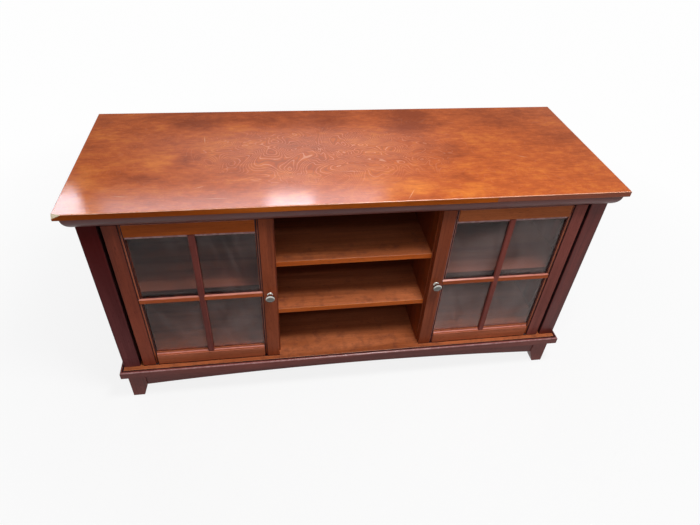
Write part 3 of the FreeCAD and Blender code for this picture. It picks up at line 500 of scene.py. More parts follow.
def scratch_marks(tree, where):
    """1 along the middle of every scratch, and 0 off the scratches."""
    marks = 0.0
    for x0, y0, x1, y1 in SCRATCHES:
        middle = ((x0 + x1) / 2, (y0 + y1) / 2)
        half = (math.dist((x0, y0), (x1, y1)) / 2, SCRATCH_HALF)
        mark = soft_patch(tree, where, middle, half, math.atan2(y1 - y0, x1 - x0))
        marks = add(tree, "Math", {0: mark, 1: marks}, operation="MAXIMUM")[0]
    return marks


print("clouds:", len(CLOUDS), "scratches:", len(SCRATCHES))

# %% [markdown]
# ## Veneer of the top
#
# The top is rotary-cut veneer: a log is peeled like a roll of paper, so the knife wanders through the year
# rings and leaves loops like the contour lines of a map. Contour lines are also how to draw them: a smooth
# noise is a landscape, and a sine of its height is a set of contours, here about 4 mm apart. Their pale
# crests are partly a painted highlight, the sheen on the ridges. Under this figure lie the stain clouds with
# ragged rims and a fine streak. The lacquer is polished but never quite flat, so it mirrors the lamps with
# wavering rims.

# %% Tone and year rings
MOTTLES = (34, 20)
MOTTLE_SHARE = 1.1
HILLS = 150
CONTOURS = 35


def stain_tone(tree, where, ragged, cloud):
    """How pale the stain is, from 0 to 1: wiped clouds, small mottles and the placed clouds."""
    tone = {"Value": cloud, "From Min": 0.1, "From Max": 0.9, "To Min": -0.48, "To Max": 0.4}
    tone = add(tree, "MapRange", tone)[0]
    mottle = along_grain(tree, where, "X", *MOTTLES, Detail=5.0, Roughness=0.7)
    tone = add(tree, "Math", {0: mottle, 1: MOTTLE_SHARE, 2: tone}, operation="MULTIPLY_ADD")[0]
    for x, y, half_x, half_y, amount in CLOUDS:
        patch = soft_patch(tree, ragged, (x, y), (half_x, half_y))
        tone = add(tree, "Math", {0: patch, 1: amount, 2: tone}, operation="MULTIPLY_ADD")[0]
    return tone


def contour_lines(tree, where):
    """The year rings: the crests and the troughs of a sine over a landscape of soft hills."""
    hills = along_grain(tree, where, "X", HILLS, HILLS, Detail=2.0, Distortion=0.5)
    rings = add(tree, "Math", {0: hills, 1: 2 * math.pi * CONTOURS}, operation="MULTIPLY")[0]
    rings = add(tree, "Math", {0: rings}, operation="SINE")[0]
    crests = add(tree, "MapRange", {"Value": rings, "From Min": 0.84, "From Max": 1.0})[0]
    troughs = add(tree, "MapRange", {"Value": rings, "From Min": -0.7, "From Max": -1.0})[0]
    return crests, troughs


print("contours over the height of the hills:", CONTOURS)

# %% Veneer material
RAGGED = 90
VENEER_CLOUDS = (150, 85)
VENEER_STREAKS = (70, 2.8)
FIGURE_MIDDLE = (-80, -15)
FIGURE_HALF = (430, 190)
SCRATCH_DULL = 0.4
WAVES = 40
STREAK_RELIEF = 0.25
CREST_RELIEF = 0.06


def peeled_veneer(name):
    """Rotary-cut veneer under satin lacquer, grain along X."""
    material, tree, shader, where = finish(name, {"Specular IOR Level": 0.3, "IOR": LACQUER_IOR})
    wobble = add(tree, "TexNoise", {"Vector": where, "Scale": METRE / RAGGED, "Detail": 3.0})["Color"]
    ragged = {0: wobble, 1: (RAGGED * MM, RAGGED * MM, 0), 2: where}
    ragged = add(tree, "VectorMath", ragged, operation="MULTIPLY_ADD")[0]
    ragged = {0: ragged, 1: (RAGGED / 2 * MM, RAGGED / 2 * MM, 0)}
    ragged = add(tree, "VectorMath", ragged, operation="SUBTRACT")[0]
    cloud = along_grain(tree, where, "X", *VENEER_CLOUDS, Detail=5.0, Roughness=0.6)
    ramp = add(tree, "ValToRGB", {"Fac": stain_tone(tree, where, ragged, cloud)})[0]
    stops = ramp.node.color_ramp.elements
    stops[0].color = linear("#92401A")
    stops[1].color = linear("#DE7E32")
    stops.new(0.5).color = linear("#BE5C28")
    fine = along_grain(tree, where, "X", *VENEER_STREAKS, Detail=3.0, Roughness=0.6)
    line = add(tree, "MapRange", {"Value": fine, "From Min": 0.45, "From Max": 0.75, "To Max": 0.32})[0]
    colour = add(tree, "Mix", {0: line, 6: ramp, 7: "#6E2C12"}, data_type="RGBA")[2]
    crests, troughs = contour_lines(tree, where)
    place = soft_patch(tree, ragged, FIGURE_MIDDLE, FIGURE_HALF)
    place = add(tree, "MapRange", {"Value": place, "From Max": 0.55, "To Min": 0.06, "To Max": 0.62})[0]
    # the pale crest tint is partly a painted highlight: the sheen on the ridges of the rings
    for lines, tint in ((crests, "#DE9E7C"), (troughs, "#98502E")):
        figure = add(tree, "Math", {0: lines, 1: place}, operation="MULTIPLY")[0]
        colour = add(tree, "Mix", {0: figure, 6: colour, 7: tint}, data_type="RGBA")[2]
    bare = add(tree, "MapRange", {"Value": scratch_marks(tree, where), "From Max": 0.8, "To Max": 0.5})[0]
    colour = add(tree, "Mix", {0: bare, 6: colour, 7: "#E2B48C"}, data_type="RGBA")[2]
    gloss = {"Value": cloud, "From Min": 0.3, "From Max": 0.7, "To Min": 0.07, "To Max": 0.12}
    gloss = add(tree, "MapRange", gloss)[0]
    gloss = add(tree, "Math", {0: bare, 1: SCRATCH_DULL, 2: gloss}, operation="MULTIPLY_ADD")[0]
    wave = add(tree, "TexNoise", {"Vector": where, "Scale": METRE / WAVES, "Detail": 2.0})[0]
    height = add(tree, "Math", {0: fine, 1: STREAK_RELIEF, 2: wave}, operation="MULTIPLY_ADD")[0]
    height = add(tree, "Math", {0: crests, 1: CREST_RELIEF, 2: height}, operation="MULTIPLY_ADD")[0]
    relief = add(tree, "Bump", {"Strength": 1.0, "Distance": 0.1 * MM, "Height": height})[0]
    feed(tree, shader, {"Base Color": colour, "Roughness": gloss, "Normal": relief})
    return material


veneer = peeled_veneer("cherry_veneer_rotary_cut_lacquered")
print("veneer nodes:", len(veneer.node_tree.nodes))

# %% [markdown]
# ## Bare wood
#
# Two places were never stained. The chipped corner of the top shows pale, fuzzy core wood. The glue blocks
# under the floor are pine, straight from the saw. Bare wood is matt, so only its fibre shows, as a streak
# twenty times as long as it is wide.

# %% Bare wood materials
FIBRE_STRETCH = 20


def sawn_wood(name, pale, dark, grain, width):
    """Unfinished wood: matt, with a fibrous streak along the grain."""
    material, tree, shader, where = finish(name, {"Specular IOR Level": 0.2, "Roughness": 0.85})
    fibre = along_grain(tree, where, grain, FIBRE_STRETCH * width, width, Detail=4.0)
    streak = add(tree, "MapRange", {"Value": fibre, "From Min": 0.35, "From Max": 0.65})[0]
    colour = add(tree, "Mix", {0: streak, 6: dark, 7: pale}, data_type="RGBA")[2]
    relief = add(tree, "Bump", {"Strength": 0.5, "Distance": 0.4 * MM, "Height": fibre})[0]
    feed(tree, shader, {"Base Color": colour, "Normal": relief})
    return material


core_wood = sawn_wood("core_wood_torn", "#FFF6DE", "#E4D0A6", "X", 1.5)
pine = sawn_wood("pine_sawn", "#D9B98A", "#A97F4E", "Z", 3.0)
print("bare woods:", core_wood.name, pine.name)

# %% [markdown]
# ## Hardboard
#
# The back panels are hardboard: pressed brown fibre, smooth and printed dark red on the side that faces the
# room, with the mark of the press screen behind. The direction of a face tells which side it is. Fibre is
# too fine to show on a whole back, so it is drawn in clumps of 60 mm that break up into finer ones.

# %% Hardboard material
PRINT_STREAKS = (300, 7)
FIBRE_CLUMPS = 60
SCREEN_PITCH = 3.5
FACES_BACK = 0.5


def hardboard(name):
    """Pressed fibre board: printed on the face that points forward, screen-marked behind."""
    material, tree, shader, where = finish(name, {"Specular IOR Level": 0.3})
    rearward = add(tree, "SeparateXYZ", {0: add(tree, "TexCoord")["Normal"]})["Y"]
    behind = add(tree, "Math", {0: rearward, 1: FACES_BACK}, operation="GREATER_THAN")[0]
    printed = along_grain(tree, where, "Z", *PRINT_STREAKS, Detail=4.0)
    printed = add(tree, "Mix", {0: printed, 6: "#7E4030", 7: "#BC6C50"}, data_type="RGBA")[2]
    fibre = {"Vector": where, "Scale": METRE / FIBRE_CLUMPS, "Detail": 8.0, "Roughness": 0.8}
    fibre = add(tree, "TexNoise", fibre)[0]
    clump = add(tree, "MapRange", {"Value": fibre, "From Min": 0.32, "From Max": 0.68})[0]
    raw = add(tree, "Mix", {0: clump, 6: "#694930", 7: "#8E6B4A"}, data_type="RGBA")[2]
    colour = add(tree, "Mix", {0: behind, 6: printed, 7: raw}, data_type="RGBA")[2]
    gloss = add(tree, "MapRange", {"Value": behind, "To Min": 0.45, "To Max": 0.8})[0]
    screen = {"Vector": where, "Scale": METRE / SCREEN_PITCH, "Randomness": 0.15}
    screen = add(tree, "TexVoronoi", screen)["Distance"]
    pressed = add(tree, "Math", {0: screen, 1: behind}, operation="MULTIPLY")[0]
    relief = add(tree, "Bump", {"Strength": 0.5, "Distance": 0.4 * MM, "Height": pressed})[0]
    feed(tree, shader, {"Base Color": colour, "Roughness": gloss, "Normal": relief})
    return material


back_board = hardboard("hardboard_pressed_printed")
print("board:", back_board.name)

# %% [markdown]
# ## Glass
#
# The panes are ordinary float glass, 3 mm thick. They were wiped with a dusty cloth, and the film left in
# cloudy patches and leaning sweeps scatters light: that is the grey veil over the dark inside. The veil
# grows thicker low down and on the right, partly a painted reflection that leaves the top left darkest.
# Two noises thin the transmission along those sweeps. Lamps can't be sampled through a refracting surface,
# so to shadow rays the pane is a clear tint.

# %% Glass material
GLASS_IOR = 1.5
WIPED_PATCHES = 170
SWEEP_WIDTH = 24
SWEEP_LENGTH = 260
SWEEP_LEAN = math.radians(-14)
SWEEP_SHARE = 0.4
# the lean of the veil, thicker low down and to the right, is partly a painted reflection
DUST_AND_REFLECTION_LEAN = (0.1, 0, -0.35)
glass, tree, shader, where = finish("float_glass_wiped", {"IOR": GLASS_IOR, "Roughness": 0.02})
feed(tree, shader, {"Base Color": "#D8C4C0", "Specular Tint": "#808080"})
patches = {"Vector": where, "Scale": METRE / WIPED_PATCHES, "Detail": 3.0, "Distortion": 0.5}
patches = add(tree, "TexNoise", patches)[0]
sweep = {"Vector": where, "Rotation": (0, SWEEP_LEAN, 0), "Scale": (SWEEP_WIDTH * MM, 1, SWEEP_LENGTH * MM)}
sweep = add(tree, "Mapping", sweep, vector_type="TEXTURE")[0]
sweep = add(tree, "TexNoise", {"Vector": sweep, "Scale": 1.0, "Detail": 2.5, "Distortion": 0.8})[0]
dust_and_reflection = add(tree, "Math", {0: sweep, 1: SWEEP_SHARE, 2: patches}, operation="MULTIPLY_ADD")[0]
lean = add(tree, "VectorMath", {0: where, 1: DUST_AND_REFLECTION_LEAN}, operation="DOT_PRODUCT")["Value"]
dust_and_reflection = add(tree, "Math", {0: dust_and_reflection, 1: lean}, operation="ADD")[0]
film = {"Value": dust_and_reflection, "From Min": 0.42, "From Max": 0.8, "To Min": 1.0, "To Max": 0.9}
feed(tree, shader, {"Transmission Weight": add(tree, "MapRange", film)[0]})
clear = add(tree, "BsdfTransparent", {"Color": "#F2F6F4"})[0]
shadow = add(tree, "LightPath")["Is Shadow Ray"]
pane = add(tree, "MixShader", {0: shadow, 1: shader.outputs[0], 2: clear})[0]
feed(tree, tree.nodes["Material Output"], {"Surface": pane})
print("glass:", glass.name)

# %% [markdown]
# ## Metal and plastic
#
# The knobs are turned brass, plated with nickel and left satin: a grey mirror, blurred by the marks of the
# lathe. Plates, pins and screws are steel with a thin zinc plating that has gone cloudy. The bushes are
# moulded nylon, waxy and pale, and the catches are brown moulded ABS with a fine spark texture. All of them
# are plain at this distance, so one function gives each its own colours, gloss and size of cloud.

# %% Metal and plastic materials
def clouded(name, pale, dark, size, feeds, low, high):
    """A hard surface whose colour and gloss wander gently in patches of one size."""
    material, tree, shader, where = finish(name, feeds)
    cloud = add(tree, "TexNoise", {"Vector": where, "Scale": METRE / size, "Detail": 4.0})[0]
    patch = add(tree, "MapRange", {"Value": cloud, "From Min": 0.35, "From Max": 0.65})[0]
    colour = add(tree, "Mix", {0: patch, 6: dark, 7: pale}, data_type="RGBA")[2]
    gloss = add(tree, "MapRange", {"Value": patch, "To Min": high, "To Max": low})[0]
    relief = add(tree, "Bump", {"Strength": 0.15, "Distance": 0.1 * MM, "Height": cloud})[0]
    feed(tree, shader, {"Base Color": colour, "Roughness": gloss, "Normal": relief})
    return material


METAL = {"Metallic": 1.0}
PLASTIC = {"Specular IOR Level": 0.5}
nickel = clouded("nickel_plated_satin_turned", "#DCDAD4", "#BEBCB6", 2.5, METAL, 0.14, 0.26)
zinc = clouded("steel_zinc_plated", "#B8BBBE", "#8E9296", 4.0, METAL, 0.3, 0.5)
nylon = clouded("nylon_moulded", "#D9D5C8", "#C4BFB0", 6.0, PLASTIC, 0.4, 0.55)
brown_plastic = clouded("abs_moulded_brown", "#4A2A1A", "#38200F", 0.8, PLASTIC, 0.4, 0.5)
print("hard materials:", [m.name for m in (nickel, zinc, nylon, brown_plastic)])

# %% [markdown]
# ## A painted reflection on the knobs
#
# The middle and the lower side of each knob's face are painted dark, a painted reflection. A gradient just
# below the knob's own axis darkens the plating there, on the front few millimetres only. The two knobs stand
# at the same height left and right of the middle, so the distance from the middle serves both.

# %% Paint the dark reflection on the knob faces
KNOB_FACE = 6
DARK_BELOW_AXIS = 0.3
DARK_REACH = 1.15
knob_low, knob_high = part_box("knob_right")
radius = (knob_high.x - knob_low.x) / 2
tree = nickel.node_tree
shader = tree.nodes["Principled BSDF"]
part = add(tree, "SeparateXYZ", {0: add(tree, "TexCoord")["Object"]})
face = {"X": add(tree, "Math", {0: part["X"]}, operation="ABSOLUTE")[0], "Z": part["Z"]}
dark_middle = {"Vector": add(tree, "CombineXYZ", face)[0], "Scale": [radius * DARK_REACH] * 3}
dark_middle["Location"] = (knob_low.x + radius, 0, knob_low.z + radius * (1 - DARK_BELOW_AXIS))
dark_middle = add(tree, "Mapping", dark_middle, vector_type="TEXTURE")[0]
dark_middle = add(tree, "TexGradient", {"Vector": dark_middle}, gradient_type="SPHERICAL")[1]
dark_middle = add(tree, "MapRange", {"Value": dark_middle, "From Min": 0.02, "From Max": 0.22, "To Max": 0.9})[0]
front = add(tree, "Math", {0: part["Y"], 1: knob_low.y + KNOB_FACE * MM}, operation="LESS_THAN")[0]
# the dark middle and lower side of the face: a painted reflection
painted_reflection = add(tree, "Math", {0: dark_middle, 1: front}, operation="MULTIPLY")[0]
plating = shader.inputs["Base Color"].links[0].from_socket
plating = add(tree, "Mix", {0: painted_reflection, 6: plating, 7: "#4A4946"}, data_type="RGBA")[2]
feed(tree, shader, {"Base Color": plating})
print("knob radius:", round(radius / MM, 1), "mm")

# %% [markdown]
# ## Boards with eased edges
#
# A CAD board has perfectly sharp edges. No real one has: the sander breaks them, and that narrow round is
# what catches the light along every edge. A bevel modifier could do it, but the CAD mesh is cut into
# triangles, so it is cleaner to copy the board, weld its faces together, dissolve the flat triangles and
# bevel only the long outward edges. The copy rides on the same body and stands for the CAD board.

# %% Weld, split and hand over a copy
WELD = 0.002 * MM
FLAT = math.radians(0.4)
CREASE = math.radians(40)


def welded(node):
    """The shape of a CAD node as one closed skin with flat faces undivided."""
    shape = bmesh.new()
    shape.from_mesh(frame["nodes"][node].data)
    bmesh.ops.remove_doubles(shape, verts=shape.verts, dist=WELD)
    bmesh.ops.dissolve_limit(shape, angle_limit=FLAT, verts=shape.verts, edges=shape.edges)
    return shape


def split(shape, point, across, **options):
    """Divides the faces of a shape along a plane, and gives back what lies on the cut."""
    everything = shape.verts[:] + shape.edges[:] + shape.faces[:]
    cut = bmesh.ops.bisect_plane(shape, geom=everything, plane_co=point, plane_no=across, **options)
    return cut["geom_cut"]


def made(shape, name, materials, body):
    """Turns a finished shape into an object that rides on a body."""
    for face in shape.faces:
        face.smooth = True
    for line in shape.edges:
        line.smooth = not line.is_manifold or line.calc_face_angle(0) < CREASE
    mesh = bpy.data.meshes.new(name)
    shape.to_mesh(mesh)
    shape.free()
    for material in materials:
        mesh.materials.append(material)
    piece = bpy.data.objects.new(name, mesh)
    scene.collection.objects.link(piece)
    shading = piece.modifiers.new("flat_faces_stay_flat", "WEIGHTED_NORMAL")
    shading.keep_sharp = True
    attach(piece, body)
    return piece


def stand_in(shape, node, materials):
    """The same, as the piece that stands for a CAD node."""
    piece = made(shape, node + "_made", materials, body_of(frame["nodes"][node])[0])
    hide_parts(node)
    return piece


print("shading creases above", round(math.degrees(CREASE)), "degrees")

# %% [markdown]
# ## Which face gets which finish
#
# Four finishes share one board. The timber itself covers the flats. The rubbed finish, worn stain with a
# painted highlight, goes on what slopes up and forward, and on the bead round the glass. Painted shade goes
# into the groove beside that bead, the edge that meets the glass, the sides of the upright bars, the hinge
# gap, the strip of floor under each door, and the seam between the floor board and its moulding. A strip of
# solid wood lips the front of a shelf, and took the stain in its own way. On the shelves behind the glass
# the lipping and a strip of its top are a dark painted shade. A face is told by its direction and by its
# depth behind the front of the door. On the door rails the groove and the rim take no shade: the top rails
# take the rubbed finish there, a painted reflection, and the bottom rails keep the timber.

# %% Measure the doors and name the boards
LIPPING_WIDTH = 12
DOOR_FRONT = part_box("hinge_stile_left")[0].y
DOOR_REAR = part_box("hinge_stile_left")[1].y
DOOR_SIDES = (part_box("hinge_stile_left")[0].x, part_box("knob_stile_left")[1].x,
              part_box("knob_stile_right")[0].x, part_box("hinge_stile_right")[1].x)
STRIP_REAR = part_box("shelf_left")[0].y + LIPPING_WIDTH * MM
SEAM = ("bottom_panel", "base_mould_front", "base_mould_left", "base_mould_right")
LIPPED = {"shelf_left": "lipping", "shelf_right": "lipping",
          "shelf_lower": "shelf_edging", "shelf_upper": "shelf_edging"}


def pair(name):
    """The names of a left node and its right twin."""
    return (name + "_left", name + "_right")


LOOSE_SHELVES = pair("shelf")
TOP_RAILS = pair("door_top_rail")
LOW_RAILS = pair("door_bottom_rail")
UPRIGHTS = pair("glazing_bar_upright")
HINGE_STILES = pair("hinge_stile")
FRONT_POSTS = pair("post_front")
print("doors are", round((DOOR_REAR - DOOR_FRONT) / MM, 1), "mm thick")

# %% Tell the faces apart
SLOPE = 0.3
FORWARD = 0.9
BEAD_DEPTH = 1.5
GROOVE_DEPTH = 2.9
RIM_DEPTH = 9
# the third finish is a painted shade in grooves, gaps and hidden sides
TIMBER, EDGE, PAINTED_SHADE, LIPPING = range(4)


def under_door(point):
    """Whether a point lies under one of the closed doors."""
    inner, outer = DOOR_SIDES[2:]
    return DOOR_FRONT < point.y < DOOR_REAR and inner < abs(point.x) < outer


def in_painted_shade(node, normal, middle):
    """Whether a face takes painted shade: under a door, in the seam of the floor board or in the hinge gap.
    """
    if node == "bottom_panel" and normal.z > FORWARD and under_door(middle):
        return True
    if node in SEAM and SLOPE < normal.z < FORWARD:
        leans_out = normal.x * middle.x + normal.y * middle.y > 0
        if leans_out == (node == "bottom_panel"):
            return True
    outward = normal.x * math.copysign(1, middle.x)
    return node in HINGE_STILES and outward > FORWARD or node in FRONT_POSTS and outward < -FORWARD


def beside_glass(node, grain, normal, depth):
    """The finish of a door's face near the glass, or None where the wood is plain."""
    across = abs(normal.x if grain == "Z" else normal.z)
    # the sides of an upright bar take a painted shade
    if node in UPRIGHTS:
        return PAINTED_SHADE if across > FORWARD else TIMBER
    on_rim = across > FORWARD and 0 < depth < RIM_DEPTH
    in_groove = normal.y < -FORWARD and depth > GROOVE_DEPTH
    if on_rim or in_groove:
        # top rails: the rubbed finish, a painted reflection; bottom rails: timber; stiles and beads: painted
        # shade
        return EDGE if node in TOP_RAILS else TIMBER if node in LOW_RAILS else PAINTED_SHADE
    on_bead = normal.y < -SLOPE and across > SLOPE and depth > BEAD_DEPTH
    return EDGE if on_bead else None


def finish_of(face, node, slot, grain):
    """The number of the finish that a face of a board takes."""
    normal = face.normal
    middle = face.calc_center_median()
    # painted shade under the doors, in the floor seam and in the hinge gap
    if in_painted_shade(node, normal, middle):
        return PAINTED_SHADE
    if slot == "door_wood":
        near_glass = beside_glass(node, grain, normal, (middle.y - DOOR_FRONT) / MM)
        if near_glass is not None:
            return near_glass
    # the front of every shelf and a strip of the loose shelves' top take the lipping; there it is a painted
    # shade
    on_strip = node in LOOSE_SHELVES and normal.z > SLOPE and middle.y < STRIP_REAR
    if on_strip or node in LIPPED and normal.y < -FORWARD:
        return LIPPING
    # faces that slope up and forward take the rubbed finish, a painted highlight on worn stain
    return EDGE if normal.y < -SLOPE and normal.z > SLOPE else TIMBER


print("finishes on a board:", LIPPING + 1)

# %% [markdown]
# ## Sanding the boards
#
# Each board is welded, eased and divided where its finish changes inside a flat face: along the lines of the
# closed doors on the floor board, and behind the lipping on the loose shelves. Then every face takes the
# number of its finish. Short edges stay sharp, so that small notches and mouldings keep their form.

# %% Ease one board
SHARP = math.radians(28)
ROUNDING_STEPS = 3
ROUND = 0.5
BEHIND_LIPPING = [((0, STRIP_REAR, 0), (0, 1, 0))]
ROUND_DOORS = [((0, y, 0), (0, 1, 0)) for y in (DOOR_FRONT, DOOR_REAR)]
ROUND_DOORS += [((x, 0, 0), (1, 0, 0)) for x in DOOR_SIDES]
CUTS = {"bottom_panel": ROUND_DOORS, "shelf_left": BEHIND_LIPPING, "shelf_right": BEHIND_LIPPING}


def eased(node, wood, grain, edge_kind, sanding):
    """A board whose outward edges are sanded round, with its finishes laid on face by face."""
    width, shortest, slot = sanding
    shape = welded(node)
    arrises = [line for line in shape.edges if line.is_manifold and line.is_convex
               and line.calc_face_angle(0) > SHARP and line.calc_length() > shortest * MM]
    bmesh.ops.bevel(shape, geom=arrises, offset=width * MM, offset_type="OFFSET", segments=ROUNDING_STEPS,
                    profile=ROUND, affect="EDGES", clamp_overlap=True, material=-1)
    for point, across in CUTS.get(node, ()):
        split(shape, point, across)
    for face in shape.faces:
        face.material_index = finish_of(face, node, slot, grain)
    lipping = timber[LIPPED.get(node, "lipping"), "X"]
    return stand_in(shape, node, (timber[wood, grain], edge[edge_kind], groove_shade, lipping))


print("boards that are divided:", len(CUTS))

# %% Ease the boards
# width of the easing and shortest edge to ease in millimetres, slot
CASE = (1.2, 12, "case_wood")
PANEL = (0.5, 12, "case_wood")
SHELF = (1.0, 12, "inner_wood")
DIVIDER = (0.8, 12, "inner_wood")
DOOR = (0.8, 40, "door_wood")
BAR = (0.6, 60, "door_wood")
BOARDS = {
    # wood, grain, rubbed edge finish with its painted highlight, sanding
    ("case", "X", "case", CASE): (
        "base_mould_front", "apron_front", "apron_rear", "top_rail_front", "top_rail_rear"),
    ("case", "Y", "case", CASE): pair("base_mould") + ("side_aprons",) + pair("side_rails"),
    ("cornice", "X", "case", CASE): ("cornice_front",),
    ("cornice", "Y", "case", CASE): pair("cornice"),
    ("case", "Z", "case", CASE): pair("post_rear") + pair("foot_rear"),
    ("post_sprayed", "Z", "case", CASE): ("post_front_left",),
    ("foot", "Z", "case", CASE): pair("foot_front"),
    ("post", "Z", "case", CASE): ("post_front_right",),
    ("case", "Z", "case", PANEL): pair("side_panel"),
    ("inner", "X", "inner", SHELF): ("bottom_panel", "shelf_upper"),
    ("inner", "X", "shelf", SHELF): ("shelf_lower",),
    ("shelf", "X", "inner", SHELF): LOOSE_SHELVES,
    ("inner", "Z", "inner", DIVIDER): pair("divider"),
    ("door", "Z", "door", DOOR): ("knob_stile_left",) + pair("glazing_beads"),
    ("door", "Z", "bar", DOOR): ("knob_stile_right",),
    ("stile_dark", "Z", "door", DOOR): ("hinge_stile_left",),
    ("stile", "Z", "door", DOOR): ("hinge_stile_right",),
    ("door", "X", "case", DOOR): ("door_top_rail_left",),
    ("head", "X", "case", DOOR): ("door_top_rail_right",),
    ("rail", "X", "rail", DOOR): LOW_RAILS,
    ("bar", "Z", "case", BAR): UPRIGHTS,
    ("bar", "X", "bar", BAR): pair("glazing_crossbars"),
}
boards = [eased(node, *look) for look, nodes in BOARDS.items() for node in nodes]
print("eased boards:", len(boards), "faces:", sum(len(piece.data.polygons) for piece in boards))

# %% [markdown]
# ## A knocked corner
#
# The top already has its rounded edges from CAD. Its front left corner has taken a knock that tore off a
# splinter and left the pale core bare. One plane cuts the corner, and the cut is divided and roughened by
# tenths of a millimetre, so it reads as torn wood and not as a sawn facet.

# %% Knock off the corner
CHIP = (26, 8, 11)
TEAR = 0.5
TEAR_CUTS = 3
TEAR_SEED = 4
VENEER, TORN, EDGING, EDGING_PAINTED_SHADE, ARRIS, FRONT_ARRIS = range(6)
top = welded("top_panel")
low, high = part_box("top_panel")
corner = Vector((low.x, low.y, high.z))
on_front = corner + Vector((CHIP[0] * MM, 0, 0))
on_side = corner + Vector((0, CHIP[1] * MM, 0))
below = corner - Vector((0, 0, CHIP[2] * MM))
outward = (on_side - on_front).cross(below - on_front).normalized()
if outward.dot(corner - on_front) < 0:
    outward = -outward
cut = split(top, on_front, outward, clear_outer=True)
rim = [part for part in cut if isinstance(part, bmesh.types.BMEdge)]
torn = bmesh.ops.contextual_create(top, geom=rim)["faces"]
for face in torn:
    face.material_index = TORN
torn = bmesh.ops.triangulate(top, faces=torn)["faces"]
across = [line for line in top.edges if any(face in torn for face in line.link_faces)]
bmesh.ops.subdivide_edges(top, edges=across, cuts=TEAR_CUTS, use_grid_fill=True)
shake = random.Random(TEAR_SEED)
fresh = {face for face in top.faces if face.material_index == TORN}
for vert in top.verts:
    if all(face in fresh for face in vert.link_faces):
        vert.co -= outward * shake.uniform(0, TEAR) * MM
print("torn faces:", len(fresh))

# %% [markdown]
# ## Edges of the top
#
# The front of the top is covered by a lipping in two lengths. The right-hand one is painted darker, a
# painted shade, and so are the ends, the back and the underside. The arris over the lipping is painted
# pale, a painted highlight. The other arrises keep the stain of the case. One more plane divides the front
# at the joint of the two lengths.

# %% Finish the top
JOINT = 370
UPRIGHT = 0.2


def top_finish(face):
    """The number of the finish that a face of the top takes."""
    if face.material_index == TORN:
        return TORN
    if face.normal.z > FORWARD:
        return VENEER
    in_front = face.normal.y < -SLOPE
    if face.normal.z > UPRIGHT:
        # the front arris is pale, a painted highlight
        return FRONT_ARRIS if in_front else ARRIS
    # the right length of the lipping, the ends, back and underside: a painted shade
    return EDGING if in_front and face.calc_center_median().x < JOINT * MM else EDGING_PAINTED_SHADE


split(top, (JOINT * MM, 0, 0), (1, 0, 0))
for face in top.faces:
    face.material_index = top_finish(face)
top_look = (veneer, core_wood, timber["edging", "X"], timber["edging_dark", "X"],
            timber["case", "X"], edge["top"])
top_piece = stand_in(top, "top_panel", top_look)
print("top faces:", len(top_piece.data.polygons))

# %% [markdown]
# ## Screw heads
#
# The screws are cold-formed steel with a cross recess that a punch drives into the soft blank. A head is
# three rings round an axis with the cross cut into its flat top, made for a radius and a rise of 1 and then
# scaled. A quarter of the cross is written down and turned three times. The heads of a group are one piece.

# %% Shape the screw heads
HEAD_SIDES = 20
RINGS = ((1, 0), (0.95, 0.6), (0.75, 1))
ARM = 0.5
SLIT = 0.13
SUNK = 0.3
TURNS = [2 * math.pi * k / HEAD_SIDES for k in range(HEAD_SIDES)]
CIRCLE = [(math.cos(turn), math.sin(turn)) for turn in TURNS]
CROSS = [(SLIT, SLIT), (SLIT, ARM), (-SLIT, ARM)]
for quarter in range(3):
    CROSS += [(-y, x) for x, y in CROSS[-3:]]


def loop(shape, seat, points, wide, up):
    """A loop of points of one width and height in the seat of a screw."""
    return [shape.verts.new(seat @ Vector((x * wide, y * wide, up))) for x, y in points]


def ring_faces(shape, lower, upper):
    """The band of faces between two loops of as many points."""
    for place in range(len(lower)):
        after = (place + 1) % len(lower)
        shape.faces.new((lower[place], lower[after], upper[after], upper[place]))


def screws(name, places, facing, radius, rise):
    """Screw heads at places in millimetres, all facing one way, as one piece of the cabinet."""
    shape = bmesh.new()
    turned = Vector(facing).to_track_quat("Z", "Y").to_matrix().to_4x4()
    size = Matrix.Diagonal((radius * MM, radius * MM, rise * MM, 1))
    for place in places:
        seat = Matrix.Translation(Vector(place) * MM) @ turned @ size
        foot, shoulder, crown = (loop(shape, seat, CIRCLE, wide, up) for wide, up in RINGS)
        rim = loop(shape, seat, CROSS, 1, 1)
        sunk = loop(shape, seat, CROSS, 1, SUNK)
        shape.faces.new(foot)
        shape.faces.new(sunk)
        for lower, upper in ((foot, shoulder), (shoulder, crown), (sunk, rim)):
            ring_faces(shape, lower, upper)
        flat_top = [line for line in shape.edges if len(line.link_faces) == 1]
        bmesh.ops.triangle_fill(shape, edges=flat_top, use_beauty=True)
    bmesh.ops.recalc_face_normals(shape, faces=shape.faces)
    return made(shape, name, (zinc,), "cabinet")


print("points of the cross:", len(CROSS))

# %% [markdown]
# ## Where the screws sit
#
# Small screws hold the back panels to the case in rows and columns, the catches to the dividers, and the
# pivot plates to the floor and the top rail. Depths and sides are measured on the CAD pieces they hold.

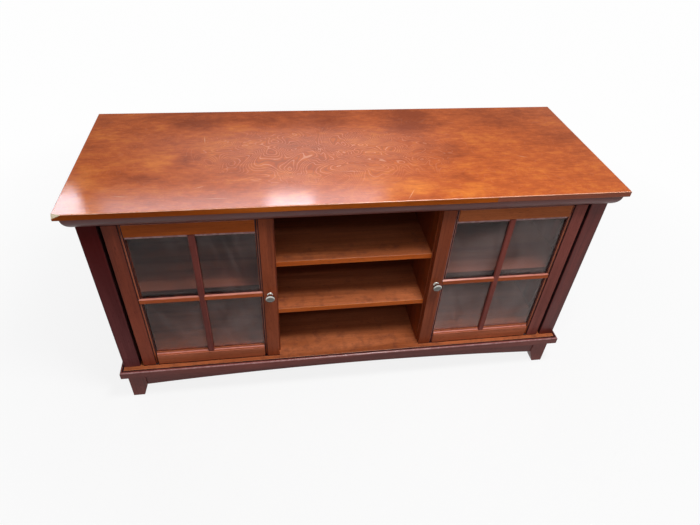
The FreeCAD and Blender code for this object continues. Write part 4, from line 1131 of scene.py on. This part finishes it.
# %% Place the screws
BACK_HEAD = (3.5, 1.2)
CATCH_HEAD = (2.4, 0.8)
PLATE_HEAD = (2.4, 0.3)
BACK_COLUMNS = (-684, -247, -236, 236, 247, 684)
BACK_ROWS = (160, 274, 388, 502, 616, 730)
TOP_ROW = (-540, -390, -110, 110, 390, 540)
CATCH_INSET = 6
PLATE_COLUMNS = (-632, 632)
PLATE_LOW = 148
PLATE_HIGH = 705
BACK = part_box("back_panel_left")[1].y / MM
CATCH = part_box("magnetic_catches")
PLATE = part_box("pivot_plates")
back_places = [(x, BACK, z) for x in BACK_COLUMNS for z in BACK_ROWS]
back_places += [(x, BACK, BACK_ROWS[-1]) for x in TOP_ROW]
catch_heights = (CATCH[0].z / MM + CATCH_INSET, CATCH[1].z / MM - CATCH_INSET)
catch_middle = (CATCH[0].y + CATCH[1].y) / 2 / MM
catch_left, catch_right = ([(side.x / MM, catch_middle, z) for z in catch_heights] for side in CATCH)
plate_middle = (PLATE[0].y + PLATE[1].y) / 2 / MM
plate_low, plate_high = ([(x, plate_middle, z) for x in PLATE_COLUMNS] for z in (PLATE_LOW, PLATE_HIGH))
fixings = [
    screws("screws_back", back_places, (0, 1, 0), *BACK_HEAD),
    screws("screws_catch_left", catch_left, (-1, 0, 0), *CATCH_HEAD),
    screws("screws_catch_right", catch_right, (1, 0, 0), *CATCH_HEAD),
    screws("screws_plate_low", plate_low, (0, 0, 1), *PLATE_HEAD),
    screws("screws_plate_high", plate_high, (0, 0, -1), *PLATE_HEAD),
]
print("screw pieces:", len(fixings), "heads on the back:", len(back_places))

# %% [markdown]
# ## CAD nodes that stay
#
# Knobs, panes, plates, bushes, pins, catches, glue blocks and back panels are right as they come, so they
# keep their CAD meshes and only take their materials.

# %% Finish the nodes that stay
KEPT = (
    (glass, pair("glass")), (nickel, pair("knob")), (nylon, pair("pivot_bushes")),
    (zinc, pair("door_hardware") + ("pivot_plates", "shelf_pins")), (pine, ("corner_blocks",)),
    (brown_plastic, ("magnetic_catches",)), (back_board, pair("back_panel") + ("back_panel_centre",)),
)
for material, nodes in KEPT:
    for node in nodes:
        frame["nodes"][node].material_slots[0].material = material
print("nodes kept:", sum(len(nodes) for material, nodes in KEPT))
